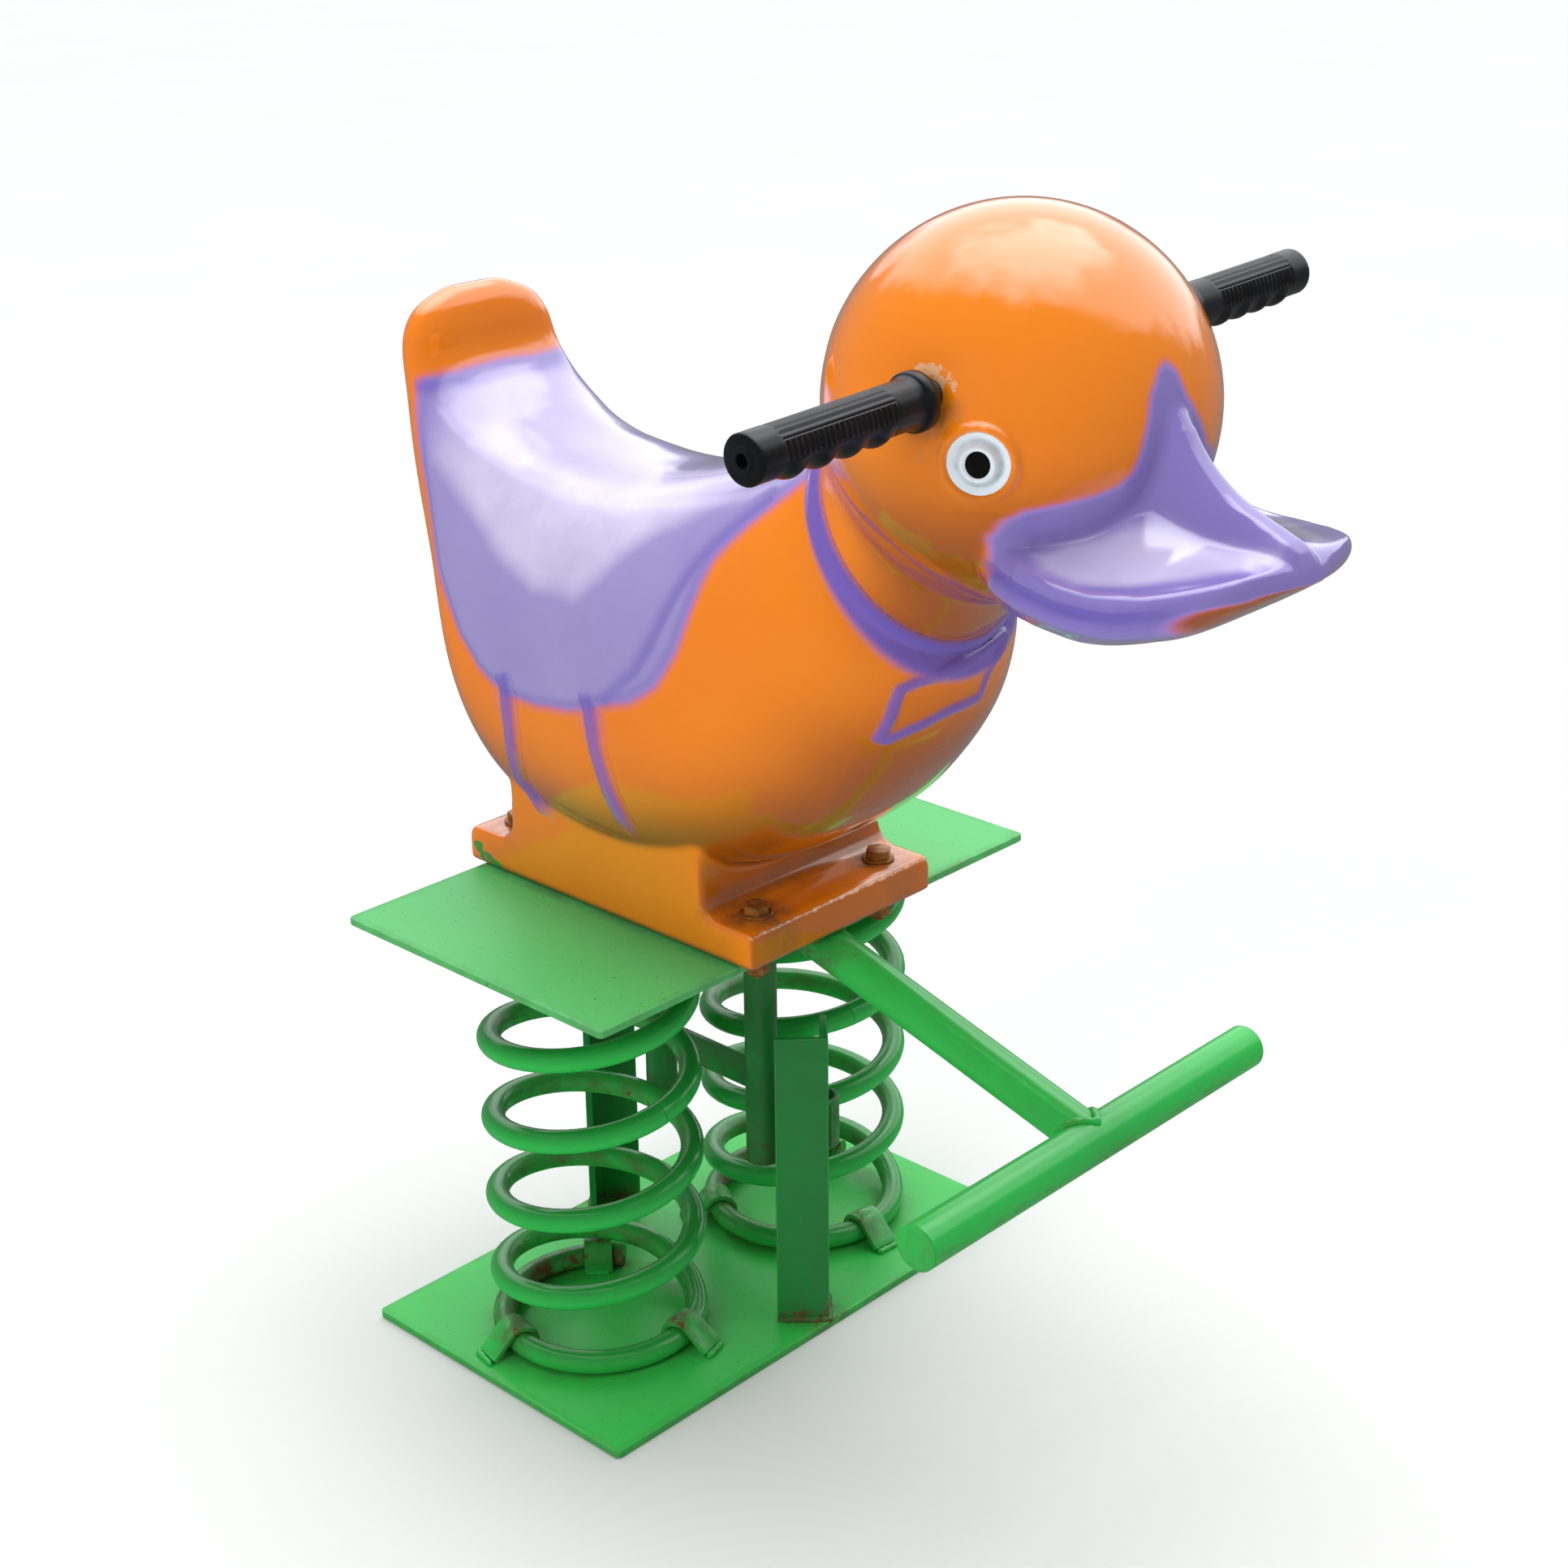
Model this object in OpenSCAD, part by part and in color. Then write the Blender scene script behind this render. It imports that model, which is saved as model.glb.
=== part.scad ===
// Spring rider in the shape of a duck. Two coil springs stand between two steel plates and
// carry a moulded shell with a handlebar and a T-shaped footrest. The duck faces -Y, its right
// side is -X, and the origin is the middle of the underside of the lower plate.

/* [Plates] */
// Length of both plates across the rider
plate_length = 450; // [430:1:520]
// Width of both plates, front to back
plate_width = 270; // [268:1:330]
// Thickness of both plates
plate_thickness = 6; // [5:0.5:12]
// Corner radius of both plates
plate_corner = 4; // [1:0.5:12]
// Clear height between the plates
plate_gap = 331; // [300:1:380]

/* [Springs] */
// Diameter of the spring wire
wire_diameter = 18; // [12:0.5:20]
// Mean diameter of the coils
coil_diameter = 148; // [130:1:156]
// Distance of each spring from the middle
spring_offset = 115; // [112:1:125]
// Rise of one working turn
coil_pitch = 66; // [52:1:85]
// Gap between a flat end turn and the turn that rises over it
closed_gap = 4.5; // [2:0.5:6]
// Height that the wire gains as it leaves a flat turn, besides the pitch
end_step = 4.6; // [2:0.1:8]
// Direction in which the right spring leaves its lower flat turn, degrees
right_phase = 295; // [0:1:359]
// Direction in which the left spring leaves its lower flat turn, degrees
left_phase = 279; // [0:1:359]

/* [Spring clips] */
// Width of a clip's strap
clip_width = 22; // [14:1:28]
// Thickness of a clip's strap
clip_thickness = 4.5; // [3:0.5:6]
// Play between a clip and the wire
clip_play = 0.9; // [0.8:0.1:1.5]
// Clips on each end of a spring
clip_count = 3; // [2:1:3]
// Turn from the end of the right spring's lower flat turn back to its first clip, degrees
right_clip_turn = 10; // [9:1:20]
// Turn from the end of the left spring's lower flat turn back to its first clip, degrees
left_clip_turn = 14; // [9:1:20]
// Turn from the start of an upper flat turn to its first clip, degrees
upper_clip_turn = 12; // [9:1:20]

/* [Stop posts] */
// Leg of the angle-iron posts
post_leg = 40; // [30:1:50]
// Thickness of the angle iron
post_thickness = 5; // [3:0.5:8]
// Height of the posts above the lower plate
post_height = 244; // [180:1:250]
// Distance of a post's corner inside the plate's edge
post_inset = 1; // [0:0.5:6]
// Outer diameter of the sleeve on the front post
sleeve_diameter = 26; // [20:1:30]
// Wall of the sleeve
sleeve_wall = 4; // [2:0.5:6]
// Length of the sleeve
sleeve_length = 42; // [25:1:60]
// Height of the sleeve's middle above the lower plate
sleeve_height = 148; // [110:1:160]

/* [Hanging frame] */
// Outer diameter of the hanging tubes
hanger_diameter = 25; // [20:1:32]
// Wall of the hanging tubes
hanger_wall = 2.5; // [2:0.5:5]
// Length of the hanging tubes below the upper plate
hanger_length = 215; // [180:1:240]
// Distance of the front tube in front of the middle
front_hanger_reach = 65; // [55:1:75]
// Distance of the rear tube behind the middle
rear_hanger_reach = 45; // [40:1:65]
// Height of the flat bar that ties the tubes
tie_height = 25; // [15:1:40]
// Thickness of the flat bar
tie_thickness = 5; // [3:0.5:8]
// Drop of the flat bar's upper edge below the upper plate
tie_drop = 132; // [100:1:150]

/* [Footrest] */
// Outer diameter of the footrest tubes
footrest_diameter = 32; // [28:1:36]
// Wall of the footrest tubes
footrest_wall = 3; // [2:0.5:5]
// Length of the crossbar without its caps
crossbar_length = 364; // [300:1:420]
// Distance of the crossbar in front of the middle
crossbar_reach = 375; // [330:1:420]
// Drop of the crossbar's axis below the upper plate's underside
crossbar_drop = 79; // [60:1:100]
// Slope of the stem, degrees
stem_slope = 15.9; // [12:0.1:18]
// Length of stem lying under the upper plate
stem_lap = 33; // [25:1:40]
// Thickness of the caps that close the crossbar
cap_thickness = 3; // [2:0.5:6]

/* [Pedestal] */
// Width of the pedestal
pedestal_width = 192; // [184:1:210]
// Overhang of the pedestal's flanges past the plate's edges
flange_overhang = 14.5; // [10:0.5:20]
// Width of a flange in front of or behind the pedestal's upright part
flange_width = 49; // [44:0.5:54]
// Thickness of the flanges
flange_thickness = 28; // [20:1:36]
// Rounding of the pedestal's upright corners
pedestal_corner = 6; // [3:0.5:10]
// Height of the pedestal, hidden top included
pedestal_height = 92; // [85:1:110]

/* [Fasteners] */
// Thread diameter of the flange bolts
bolt_diameter = 10; // [8:1:12]
// Play around a bolt in its hole
bolt_play = 1; // [0.5:0.1:2]
// Distance between the bolts of one flange
bolt_spacing = 130; // [116:1:140]
// Thread left below the nut
bolt_tail = 4; // [2:0.5:10]
// Thickness of the washers
washer_thickness = 2; // [1.5:0.5:3]

/* [Duck shell] */
// Wall of the moulded shell
shell_wall = 6; // [4:0.5:9]
// Greatest width of the body
body_width = 238; // [226:1:260]
// Height of the seat's lowest point above the upper plate
seat_height = 317; // [305:1:330]
// Distance of the chest's front from the middle
chest_reach = 264; // [256:1:276]
// Height of the tail's top above the upper plate
tail_height = 419; // [408:1:440]
// Distance of the tail's back from the middle
tail_reach = 240; // [234:1:254]
// Width of the tail
tail_width = 140; // [124:1:156]
// Diameter of the head
head_diameter = 251; // [240:1:266]
// Distance of the head's centre in front of the middle
head_reach = 298; // [288:1:308]
// Height of the head's centre above the upper plate
head_height = 411; // [402:1:420]
// Diameter of the neck inside the collar
neck_diameter = 166; // [158:1:176]
// Height of the neck's middle above the upper plate
neck_height = 310; // [304:1:316]
// Distance of the neck's middle in front of the middle
neck_reach = 212; // [206:1:218]
// Slope of the neck's collar, degrees
neck_slope = 56.5; // [50:0.5:62]
// Thickness of the raised collar
collar_thickness = 10; // [6:0.5:14]
// Width of the bill
bill_width = 214; // [190:1:230]
// Distance of the bill's tip from the middle
bill_reach = 518; // [505:1:535]
// Depth of the bill's rounded underside
bill_depth = 44; // [34:1:52]
// Diameter of the eyes
eye_diameter = 40; // [30:1:50]
// Width of the raised straps on the flanks
strap_width = 14; // [8:1:20]

/* [Handlebar] */
// Outer diameter of the handlebar tube
bar_diameter = 22; // [18:1:24]
// Wall of the handlebar tube
bar_wall = 2.5; // [1.5:0.5:4]
// Length of the handlebar
bar_length = 528; // [500:1:580]
// Play around the handlebar in the shell
bar_play = 0.6; // [0.4:0.1:2]
// Distance of the handlebar in front of the head's centre
bar_forward = 24; // [0:1:40]
// Distance of the handlebar above the head's centre
bar_rise = 34; // [0:1:45]
// Shift of the handlebar towards the right side
bar_shift = 5; // [0:0.5:10]
// Sideways tilt of the handlebar, degrees
bar_tilt = 2.5; // [0:0.1:4]
// Diameter of a grip
grip_diameter = 31; // [29:1:36]
// Diameter of a grip's inner flange
grip_flange = 37; // [36:1:46]
// Thickness of a grip's closed end
grip_end = 4; // [2:0.5:8]
// Gap between a grip's flange and the head
grip_gap = 2; // [1:0.5:15]

/* [Hidden] */
$fn = 64;
// Paints of the object
steel_green = "#37ab49";
shell_orange = "#f7941e";
grip_black = "#17191c";
bolt_brown = "#b5722a";
// Overlap of a cut past the face that it opens
cut = 1;
// Heights of the plates
base_top = plate_thickness;
deck_under = base_top + plate_gap;
deck_top = deck_under + plate_thickness;
// Spring: flat turns at both ends and working turns between them
wire_radius = wire_diameter / 2;
coil_radius = coil_diameter / 2;
spring_low = base_top + wire_radius;
spring_rise = plate_gap - wire_diameter;
working_turns = (spring_rise - 2 * end_step) / coil_pitch;
closed_turns = 1 - (wire_diameter + closed_gap - end_step) / coil_pitch;
coil_turns = working_turns + 2 * closed_turns;
ease_turns = 0.25;
rings_per_turn = 24;
wire_sides = 8;
// Clips: the strap's inner and outer bend, and the turn that the far clip keeps clear of, where
// the wire that rises over it hasn't yet gained the height of a strap
clip_inner = wire_radius + clip_play;
clip_outer = clip_inner + clip_thickness;
clip_clearance = 0.5;
clip_half = asin(clip_width / coil_diameter);
clip_rise = wire_diameter + clip_play + clip_thickness + clip_clearance;
clip_room = 360 * (clip_rise - end_step) / coil_pitch;
// Posts and hanging frame
post_corner = plate_width / 2 - post_inset;
post_reach = post_corner - (post_leg - post_thickness / 2) * sin(45);
sleeve_lap = 1;
sleeve_out = post_leg + sleeve_diameter / 2 - sleeve_lap;
// Footrest
footrest_radius = footrest_diameter / 2;
crossbar_z = deck_under - crossbar_drop;
stem_end = plate_width / 2 - stem_lap;
stem_run = (crossbar_reach - stem_end) / cos(stem_slope);
// Pedestal and its bolts
flange_top = deck_top + flange_thickness;
pedestal_length = plate_width + 2 * flange_overhang;
pedestal_neck = pedestal_length - 2 * flange_width;
bolt_reach = (pedestal_length - flange_width) / 2;
bolt_hole = bolt_diameter + bolt_play;
head_flats = 1.7 * bolt_diameter;
head_thickness = 0.64 * bolt_diameter;
nut_thickness = 0.84 * bolt_diameter;
washer_diameter = 2.4 * bolt_diameter;
bolt_grip = flange_thickness + plate_thickness + 2 * washer_thickness;
bolt_places = [for (x = [-1, 1], y = [-1, 1]) [x * bolt_spacing / 2, y * bolt_reach]];
// Head, neck and handlebar
head_radius = head_diameter / 2;
head_centre = [0, -head_reach, deck_top + head_height];
neck_centre = [0, -neck_reach, deck_top + neck_height];
bar_centre = head_centre + [0, -bar_forward, bar_rise];
// The lower grip's flange comes nearest to the head's middle, so it sets where both grips start
bar_dip = head_radius * sin(bar_tilt);
grip_near = norm([bar_forward, bar_rise - bar_dip]) - grip_flange / 2;
grip_start = sqrt(pow(head_radius, 2) - pow(grip_near, 2)) + grip_gap;
grip_length = bar_length / 2 + grip_end - grip_start;
function grip_reach(side) = grip_length - side * bar_shift;
grip_flange_width = 10;
eye_direction = [112, -58, -7];
// Body: rows of [upper y, upper z, lower y, lower z, half width, pear, squareness], front to tail
half_body = body_width / 2;
half_tail = tail_width / 2;
seat_z = deck_top + seat_height;
tail_z = deck_top + tail_height;
neck_up = [cos(neck_slope), sin(neck_slope)];
neck_root = 0.72 * head_radius;
function neck_row(centre, radius) = [centre[1] + radius * neck_up[0], centre[2] + radius * neck_up[1],
    centre[1] - radius * neck_up[0], centre[2] - radius * neck_up[1], radius, 0, 2];
body_rows = [
    neck_row(neck_centre, neck_diameter / 2),
    [-140, seat_z + 47, -chest_reach, deck_top + 222, half_body - 24, 0, 2.1],
    [-110, seat_z + 34, -chest_reach + 12, deck_top + 180, half_body - 14, 0.02, 2.2],
    [-75, seat_z + 22, -chest_reach + 40, deck_top + 138, half_body - 8, 0.04, 2.3],
    [-40, seat_z + 11, -chest_reach + 80, deck_top + 98, half_body - 4, 0.06, 2.5],
    [0, seat_z + 2, -124, deck_top + 60, half_body, 0.08, 2.6],
    [40, seat_z, -50, deck_top + 36, half_body - 3, 0.1, 2.7],
    [76, seat_z + 2, 30, deck_top + 34, half_body - 7, 0.1, 2.8],
    [112, seat_z + 7, tail_reach - 128, deck_top + 48, half_body - 12, 0.08, 2.8],
    [147, seat_z + 17, tail_reach - 84, deck_top + 97, half_body - 16, 0.07, 2.8],
    [176, seat_z + 31, tail_reach - 62, deck_top + 186, half_body - 25, 0.04, 2.8],
    [195, seat_z + 45, tail_reach - 35, tail_z - 152, half_tail + 14, 0.02, 2.8],
    [203, tail_z - 43, tail_reach - 12, tail_z - 87, half_tail + 4, 0, 2.8],
    [206, tail_z - 25, tail_reach, tail_z - 40, half_tail - 2, 0, 2.8],
    [211, tail_z - 10, tail_reach, tail_z - 15, half_tail - 16, 0, 2.6],
    [220, tail_z, tail_reach - 7, tail_z - 1, half_tail - 44, 0, 2.4]];
body_steps = 2;
body_sides = 28;
// Bill: rows of [y, half width, rim z, keel z above the rim, dish depth, underside depth]
half_bill = bill_width / 2;
bill_rim = deck_top + 340;
bill_rows = [
    [-340, half_bill - 19, bill_rim + 18, 106, 0, bill_depth + 20],
    [-368, half_bill - 5, bill_rim + 10, 112, 3, bill_depth + 12],
    [-405, half_bill + 2, bill_rim + 2, 104, 6, bill_depth + 5],
    [-440, half_bill + 1, bill_rim, 68, 8, bill_depth - 3],
    [-472, half_bill - 11, bill_rim + 3, 30, 7, bill_depth - 11],
    [-bill_reach + 20, half_bill - 36, bill_rim + 9, 8, 4, bill_depth - 22],
    [-bill_reach + 7, half_bill - 66, bill_rim + 13, 3, 2, bill_depth - 31],
    [-bill_reach, half_bill - 96, bill_rim + 14, 1, 0, 6]];
bill_sides = 24;
bill_lip = 4;

// A number or row of numbers between four neighbours, smooth through the middle two
function between(a, b, c, d, t) = 0.5 * (2 * b + (c - a) * t + (2 * a - 5 * b + 4 * c - d) * t * t
    + (3 * b - a - 3 * c + d) * t * t * t);
function at(rows, i) = rows[max(0, min(len(rows) - 1, i))];
function smooth_row(rows, u) = let (i = min(floor(u), len(rows) - 2))
    between(at(rows, i - 1), at(rows, i), at(rows, i + 1), at(rows, i + 2), u - i);
// A sine or cosine squared off by the power 2 / n
function squared(v, n) = sign(v) * pow(abs(v), 2 / n);
// Point of a body section at angle a, drawn in by the given wall
function body_point(r, a, wall) =
    let (half = [(r[0] - r[2]) / 2, (r[1] - r[3]) / 2])
    let (keep = max(0.1, 1 - wall / norm(half)))
    let (c = squared(cos(a), r[6]), s = squared(sin(a), r[6]))
    [max(2, r[4] - wall) * (1 - r[5] * s) * c,
        (r[0] + r[2]) / 2 + half[0] * keep * s, (r[1] + r[3]) / 2 + half[1] * keep * s];
// Point k of a bill section: the dished top from right to left, then the round underside back
function bill_top(r, q) = r[2] + r[3] * pow(max(0, 1 - abs(q) * 1.7), 2) - r[4] * sin(180 * abs(q))
    + bill_lip * pow(abs(q), 6);
function bill_point(r, k) = let (h = bill_sides / 2)
    k < h ? let (q = -cos(180 * k / h)) [q * r[1], r[0], bill_top(r, q)]
    : let (q = cos(180 * (k - h) / h)) [q * r[1], r[0], r[2] - r[5] * sqrt(max(0, 1 - pow(q, 4)))];
// Rise of a spring's wire after t working turns: a straight line, eased into the flat turns
function ease(s) = let (q = max(0, min(1, s))) q * q * (3 - 2 * q);
function end_rise(t) = (end_step + coil_pitch * t) * ease(t / ease_turns);
function coil_rise(t) = t < working_turns / 2 ? end_rise(t) : spring_rise - end_rise(working_turns - t);
// Point of a spring's wire axis after the given turns
function coil_point(turn) =
    let (t = turn - closed_turns)
    let (a = 360 * t)
    [coil_radius * cos(a), coil_radius * sin(a), spring_low + coil_rise(t)];
// Ring of points round a wire whose axis passes through p with the direction t
function wire_ring(p, t, sides) =
    let (out = [p[0], p[1], 0] / norm([p[0], p[1]]))
    let (up = cross(out, t) / norm(cross(out, t)))
    [for (k = [0:sides - 1]) p + wire_radius * (out * cos(360 * k / sides) + up * sin(360 * k / sides))];
// Faces of a closed skin over rings of equal length, with a fan at each end
function skin_faces(rings, sides) = concat(
    [for (i = [0:rings - 2], k = [0:sides - 1]) let (m = (k + 1) % sides)
        [i * sides + k, i * sides + m, (i + 1) * sides + m]],
    [for (i = [0:rings - 2], k = [0:sides - 1]) let (m = (k + 1) % sides)
        [i * sides + k, (i + 1) * sides + m, (i + 1) * sides + k]],
    [for (k = [1:sides - 2]) [0, k + 1, k]],
    [for (k = [1:sides - 2]) let (e = (rings - 1) * sides) [e, e + k, e + k + 1]]);
module skin(rings) {
    sides = len(rings[0]);
    polyhedron([for (r = rings) each r], skin_faces(len(rings), sides), convexity = 8);
}

module plate(z) {
    translate([0, 0, z])
        linear_extrude(plate_thickness) {
            square([plate_length - 2 * plate_corner, plate_width], center = true);
            square([plate_length, plate_width - 2 * plate_corner], center = true);
            for (x = [-1, 1], y = [-1, 1])
                translate([x * (plate_length / 2 - plate_corner), y * (plate_width / 2 - plate_corner)])
                    circle(plate_corner);
        }
}

module base_plate() {
    color(steel_green) plate(0);
}

module top_plate() {
    color(steel_green)
        difference() {
            plate(deck_under);
            for (p = bolt_places)
                translate([p[0], p[1], deck_under - cut])
                    cylinder(d = bolt_hole, h = plate_thickness + 2 * cut);
        }
}

// Angle iron whose corner points forward
module post() {
    translate([0, -post_corner, base_top])
        rotate(45)
            linear_extrude(post_height) {
                square([post_leg, post_thickness]);
                square([post_thickness, post_leg]);
            }
}

module front_post() {
    color(steel_green) post();
}

module rear_post() {
    color(steel_green) rotate(180) post();
}

// Short open tube on the edge of the front post's left leg
module post_sleeve() {
    color(steel_green)
        difference() {
            translate([0, -post_corner, base_top + sleeve_height - sleeve_length / 2])
                rotate(45)
                    translate([sleeve_out, post_thickness / 2, 0])
                        difference() {
                            cylinder(d = sleeve_diameter, h = sleeve_length);
                            translate([0, 0, -cut])
                                cylinder(d = sleeve_diameter - 2 * sleeve_wall, h = sleeve_length + 2 * cut);
                        }
            post();
        }
}

coil_samples = [for (i = [0:floor(coil_turns * rings_per_turn)])
    coil_point(min(coil_turns, i / rings_per_turn))];
coil_axis = concat(coil_samples, [coil_point(coil_turns)]);
coil_gaps = [for (i = [0:len(coil_axis) - 1], j = [i + 1:len(coil_axis) - 1])
    if (j - i > rings_per_turn / 2) norm(coil_axis[i] - coil_axis[j]) - wire_diameter];
echo("least gap between spring turns", min(coil_gaps));

module spring(x, phase) {
    steps = ceil(coil_turns * rings_per_turn);
    span = coil_turns / steps;
    reach = 0.01;
    translate([x, 0, 0])
        rotate(phase)
            skin([for (i = [0:steps])
                let (ahead = coil_point(min(coil_turns, i * span + reach)))
                let (behind = coil_point(max(0, i * span - reach)))
                wire_ring(coil_point(i * span), ahead - behind, wire_sides)]);
}

module right_spring() {
    color(steel_green) spring(-spring_offset, right_phase);
}

module left_spring() {
    color(steel_green) spring(spring_offset, left_phase);
}

// Bent strap over one spot of a spring's flat turn, standing on z = 0 and hollowed along the coil
module clip() {
    low = wire_radius;
    slope_in = clip_inner * sin(45);
    slope_out = clip_outer * sin(45);
    difference() {
        translate([0, clip_width / 2, 0])
            rotate([90, 0, 0])
                linear_extrude(clip_width)
                    translate([coil_radius, 0])
                        difference() {
                            union() {
                                translate([0, low])
                                    circle(clip_outer);
                                translate([-clip_outer, 0])
                                    square([clip_outer, low]);
                                polygon([[0, 0], [0, low], [slope_out, low + slope_out],
                                    [low + 2 * slope_out, 0]]);
                            }
                            translate([-2 * clip_outer, -4 * clip_outer])
                                square([4 * clip_outer, 4 * clip_outer]);
                        }
        rotate_extrude()
            translate([coil_radius, 0]) {
                translate([0, low])
                    circle(clip_inner);
                polygon([[-clip_inner, low], [-clip_inner, -cut], [low + 2 * slope_in + cut, -cut],
                    [slope_in, low + slope_in], [0, low]]);
            }
    }
}

// Clips spread along a flat turn: the first lies the given turn from its end, the way the sign says
module clips(x, end, turn, way) {
    spread = (360 - clip_room - clip_half - turn) / (clip_count - 1);
    translate([x, 0, 0])
        for (i = [0:clip_count - 1])
            rotate(end + way * (turn + spread * i))
                clip();
}

module lower_clips(x, phase, turn) {
    translate([0, 0, base_top])
        clips(x, phase, turn, -1);
}

module upper_clips(x, phase) {
    translate([0, 0, deck_under])
        mirror([0, 0, 1])
            clips(x, phase + 360 * working_turns, upper_clip_turn, 1);
}

module right_lower_clips() {
    color(steel_green) lower_clips(-spring_offset, right_phase, right_clip_turn);
}

module left_lower_clips() {
    color(steel_green) lower_clips(spring_offset, left_phase, left_clip_turn);
}

module right_upper_clips() {
    color(steel_green) upper_clips(-spring_offset, right_phase);
}

module left_upper_clips() {
    color(steel_green) upper_clips(spring_offset, left_phase);
}

module hanger(y) {
    translate([0, y, deck_under - hanger_length])
        difference() {
            cylinder(d = hanger_diameter, h = hanger_length);
            translate([0, 0, -cut])
                cylinder(d = hanger_diameter - 2 * hanger_wall, h = hanger_length + 2 * cut);
        }
}

module front_hanger() {
    color(steel_green) hanger(-front_hanger_reach);
}

module rear_hanger() {
    color(steel_green) hanger(rear_hanger_reach);
}

// Flat bar between the hanging tubes, its ends hollowed to fit them
module tie_bar() {
    color(steel_green)
        difference() {
            translate([-tie_thickness / 2, -front_hanger_reach, deck_under - tie_drop - tie_height])
                cube([tie_thickness, front_hanger_reach + rear_hanger_reach, tie_height]);
            for (y = [-front_hanger_reach, rear_hanger_reach])
                translate([0, y, deck_under - hanger_length])
                    cylinder(d = hanger_diameter, h = hanger_length);
        }
}

module crossbar_solid(diameter, length) {
    translate([-length / 2, -crossbar_reach, crossbar_z])
        rotate([0, 90, 0])
            cylinder(d = diameter, h = length);
}

module footrest_crossbar() {
    color(steel_green)
        difference() {
            crossbar_solid(footrest_diameter, crossbar_length);
            crossbar_solid(footrest_diameter - 2 * footrest_wall, crossbar_length + 2 * cut);
        }
}

module footrest_caps() {
    color(steel_green)
        for (x = [-crossbar_length / 2 - cap_thickness, crossbar_length / 2])
            translate([x, -crossbar_reach, crossbar_z])
                rotate([0, 90, 0])
                    cylinder(d = footrest_diameter, h = cap_thickness);
}

// Sloping tube, fitted round the crossbar in front and cut to lie under the upper plate
module footrest_stem() {
    color(steel_green)
        difference() {
            translate([0, -crossbar_reach, crossbar_z])
                rotate([stem_slope - 90, 0, 0])
                    difference() {
                        cylinder(d = footrest_diameter, h = stem_run);
                        translate([0, 0, -cut])
                            cylinder(d = footrest_diameter - 2 * footrest_wall, h = stem_run + 2 * cut);
                    }
            crossbar_solid(footrest_diameter, crossbar_length);
            translate([-plate_length / 2, -plate_width / 2, deck_under])
                cube([plate_length, plate_width, pedestal_height]);
            translate([-plate_length / 2, -crossbar_reach, deck_top])
                cube([plate_length, crossbar_reach, pedestal_height]);
        }
}

module rounded_box(size, radius, rise) {
    hull()
        for (x = [-1, 1], y = [-1, 1])
            translate([x * (size[0] / 2 - radius), y * (size[1] / 2 - radius), 0])
                cylinder(r = radius, h = rise, $fn = 16);
}

module pedestal() {
    translate([0, 0, deck_top]) {
        rounded_box([pedestal_width, pedestal_length], pedestal_corner, flange_thickness);
        rounded_box([pedestal_width, pedestal_neck], pedestal_corner, pedestal_height);
    }
}

module pedestal_hollow() {
    wide = pedestal_width - 2 * shell_wall;
    long = pedestal_neck - 2 * shell_wall;
    translate([0, 0, deck_top - cut])
        rounded_box([wide, long], pedestal_corner, pedestal_height + cut);
}

// Body and neck: a straight ring inside the head, then smooth sections from the collar to the tail
module body(rows, wall) {
    sections = concat([neck_row(head_centre, neck_root)],
        [for (i = [0:(len(rows) - 1) * body_steps]) smooth_row(rows, i / body_steps)]);
    skin([for (r = sections)
        [for (k = [0:body_sides - 1]) body_point(r, 360 * k / body_sides, wall)]]);
}

// Hollow of the body, which ends where the tail gets thin
module body_hollow() {
    body([for (i = [0:len(body_rows) - 6]) body_rows[i]], shell_wall);
}

module head(wall, facets) {
    translate(head_centre)
        sphere(r = head_radius - wall, $fn = facets);
}

module bill() {
    last = len(bill_rows) - 1;
    skin([for (i = [0:2 * last])
        let (r = smooth_row(bill_rows, i / 2))
        [for (k = [0:bill_sides - 1]) bill_point(r, k)]]);
}

module collar() {
    translate(neck_centre)
        rotate([neck_slope, 0, 0])
            rotate_extrude($fn = 40)
                translate([neck_diameter / 2, 0])
                    circle(collar_thickness / 2, $fn = 8);
}

// Raised strap down the flank, from the seat's edge to the pedestal
module strap(row) {
    rise = 1.5;
    r = smooth_row(body_rows, row);
    for (a = [-2:-12:-50])
        hull()
            for (b = [a, a - 12]) {
                p = body_point(r, b, -rise);
                translate([p[0] - strap_width / 2, p[1], p[2]])
                    sphere(d = strap_width, $fn = 8);
            }
}

module eye_boss() {
    out = eye_direction / norm(eye_direction);
    turn = [0, acos(out[2]), atan2(out[1], out[0])];
    translate(head_centre)
        rotate(turn)
            translate([0, 0, head_radius - 8]) {
                cylinder(d = eye_diameter, h = 9, $fn = 24);
                cylinder(d1 = eye_diameter - 14, d2 = eye_diameter / 3, h = 13, $fn = 16);
            }
}

module bar_solid(diameter, length) {
    translate(bar_centre)
        rotate([0, 90 - bar_tilt, 0])
            translate([0, 0, -length / 2 - bar_shift])
                cylinder(d = diameter, h = length);
}

module duck(side) {
    difference() {
        union() {
            pedestal();
            body(body_rows, 0);
            head(0, 40);
            bill();
            collar();
            mirror([side < 0 ? 1 : 0, 0, 0]) {
                eye_boss();
                strap(6.0);
                strap(7.6);
            }
        }
        pedestal_hollow();
        body_hollow();
        head(shell_wall, 28);
        bar_solid(bar_diameter + 2 * bar_play, bar_length);
        for (p = bolt_places)
            translate([p[0], p[1], deck_top - cut])
                cylinder(d = bolt_hole, h = flange_thickness + 2 * cut, $fn = 24);
    }
}

// Half of the shell on one side of the seam along the middle
module half_shell(side) {
    reach = 2 * bill_reach;
    intersection() {
        duck(side);
        translate([side < 0 ? -reach : 0, -reach, 0])
            cube([reach, 2 * reach, 2 * reach]);
    }
}

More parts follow.
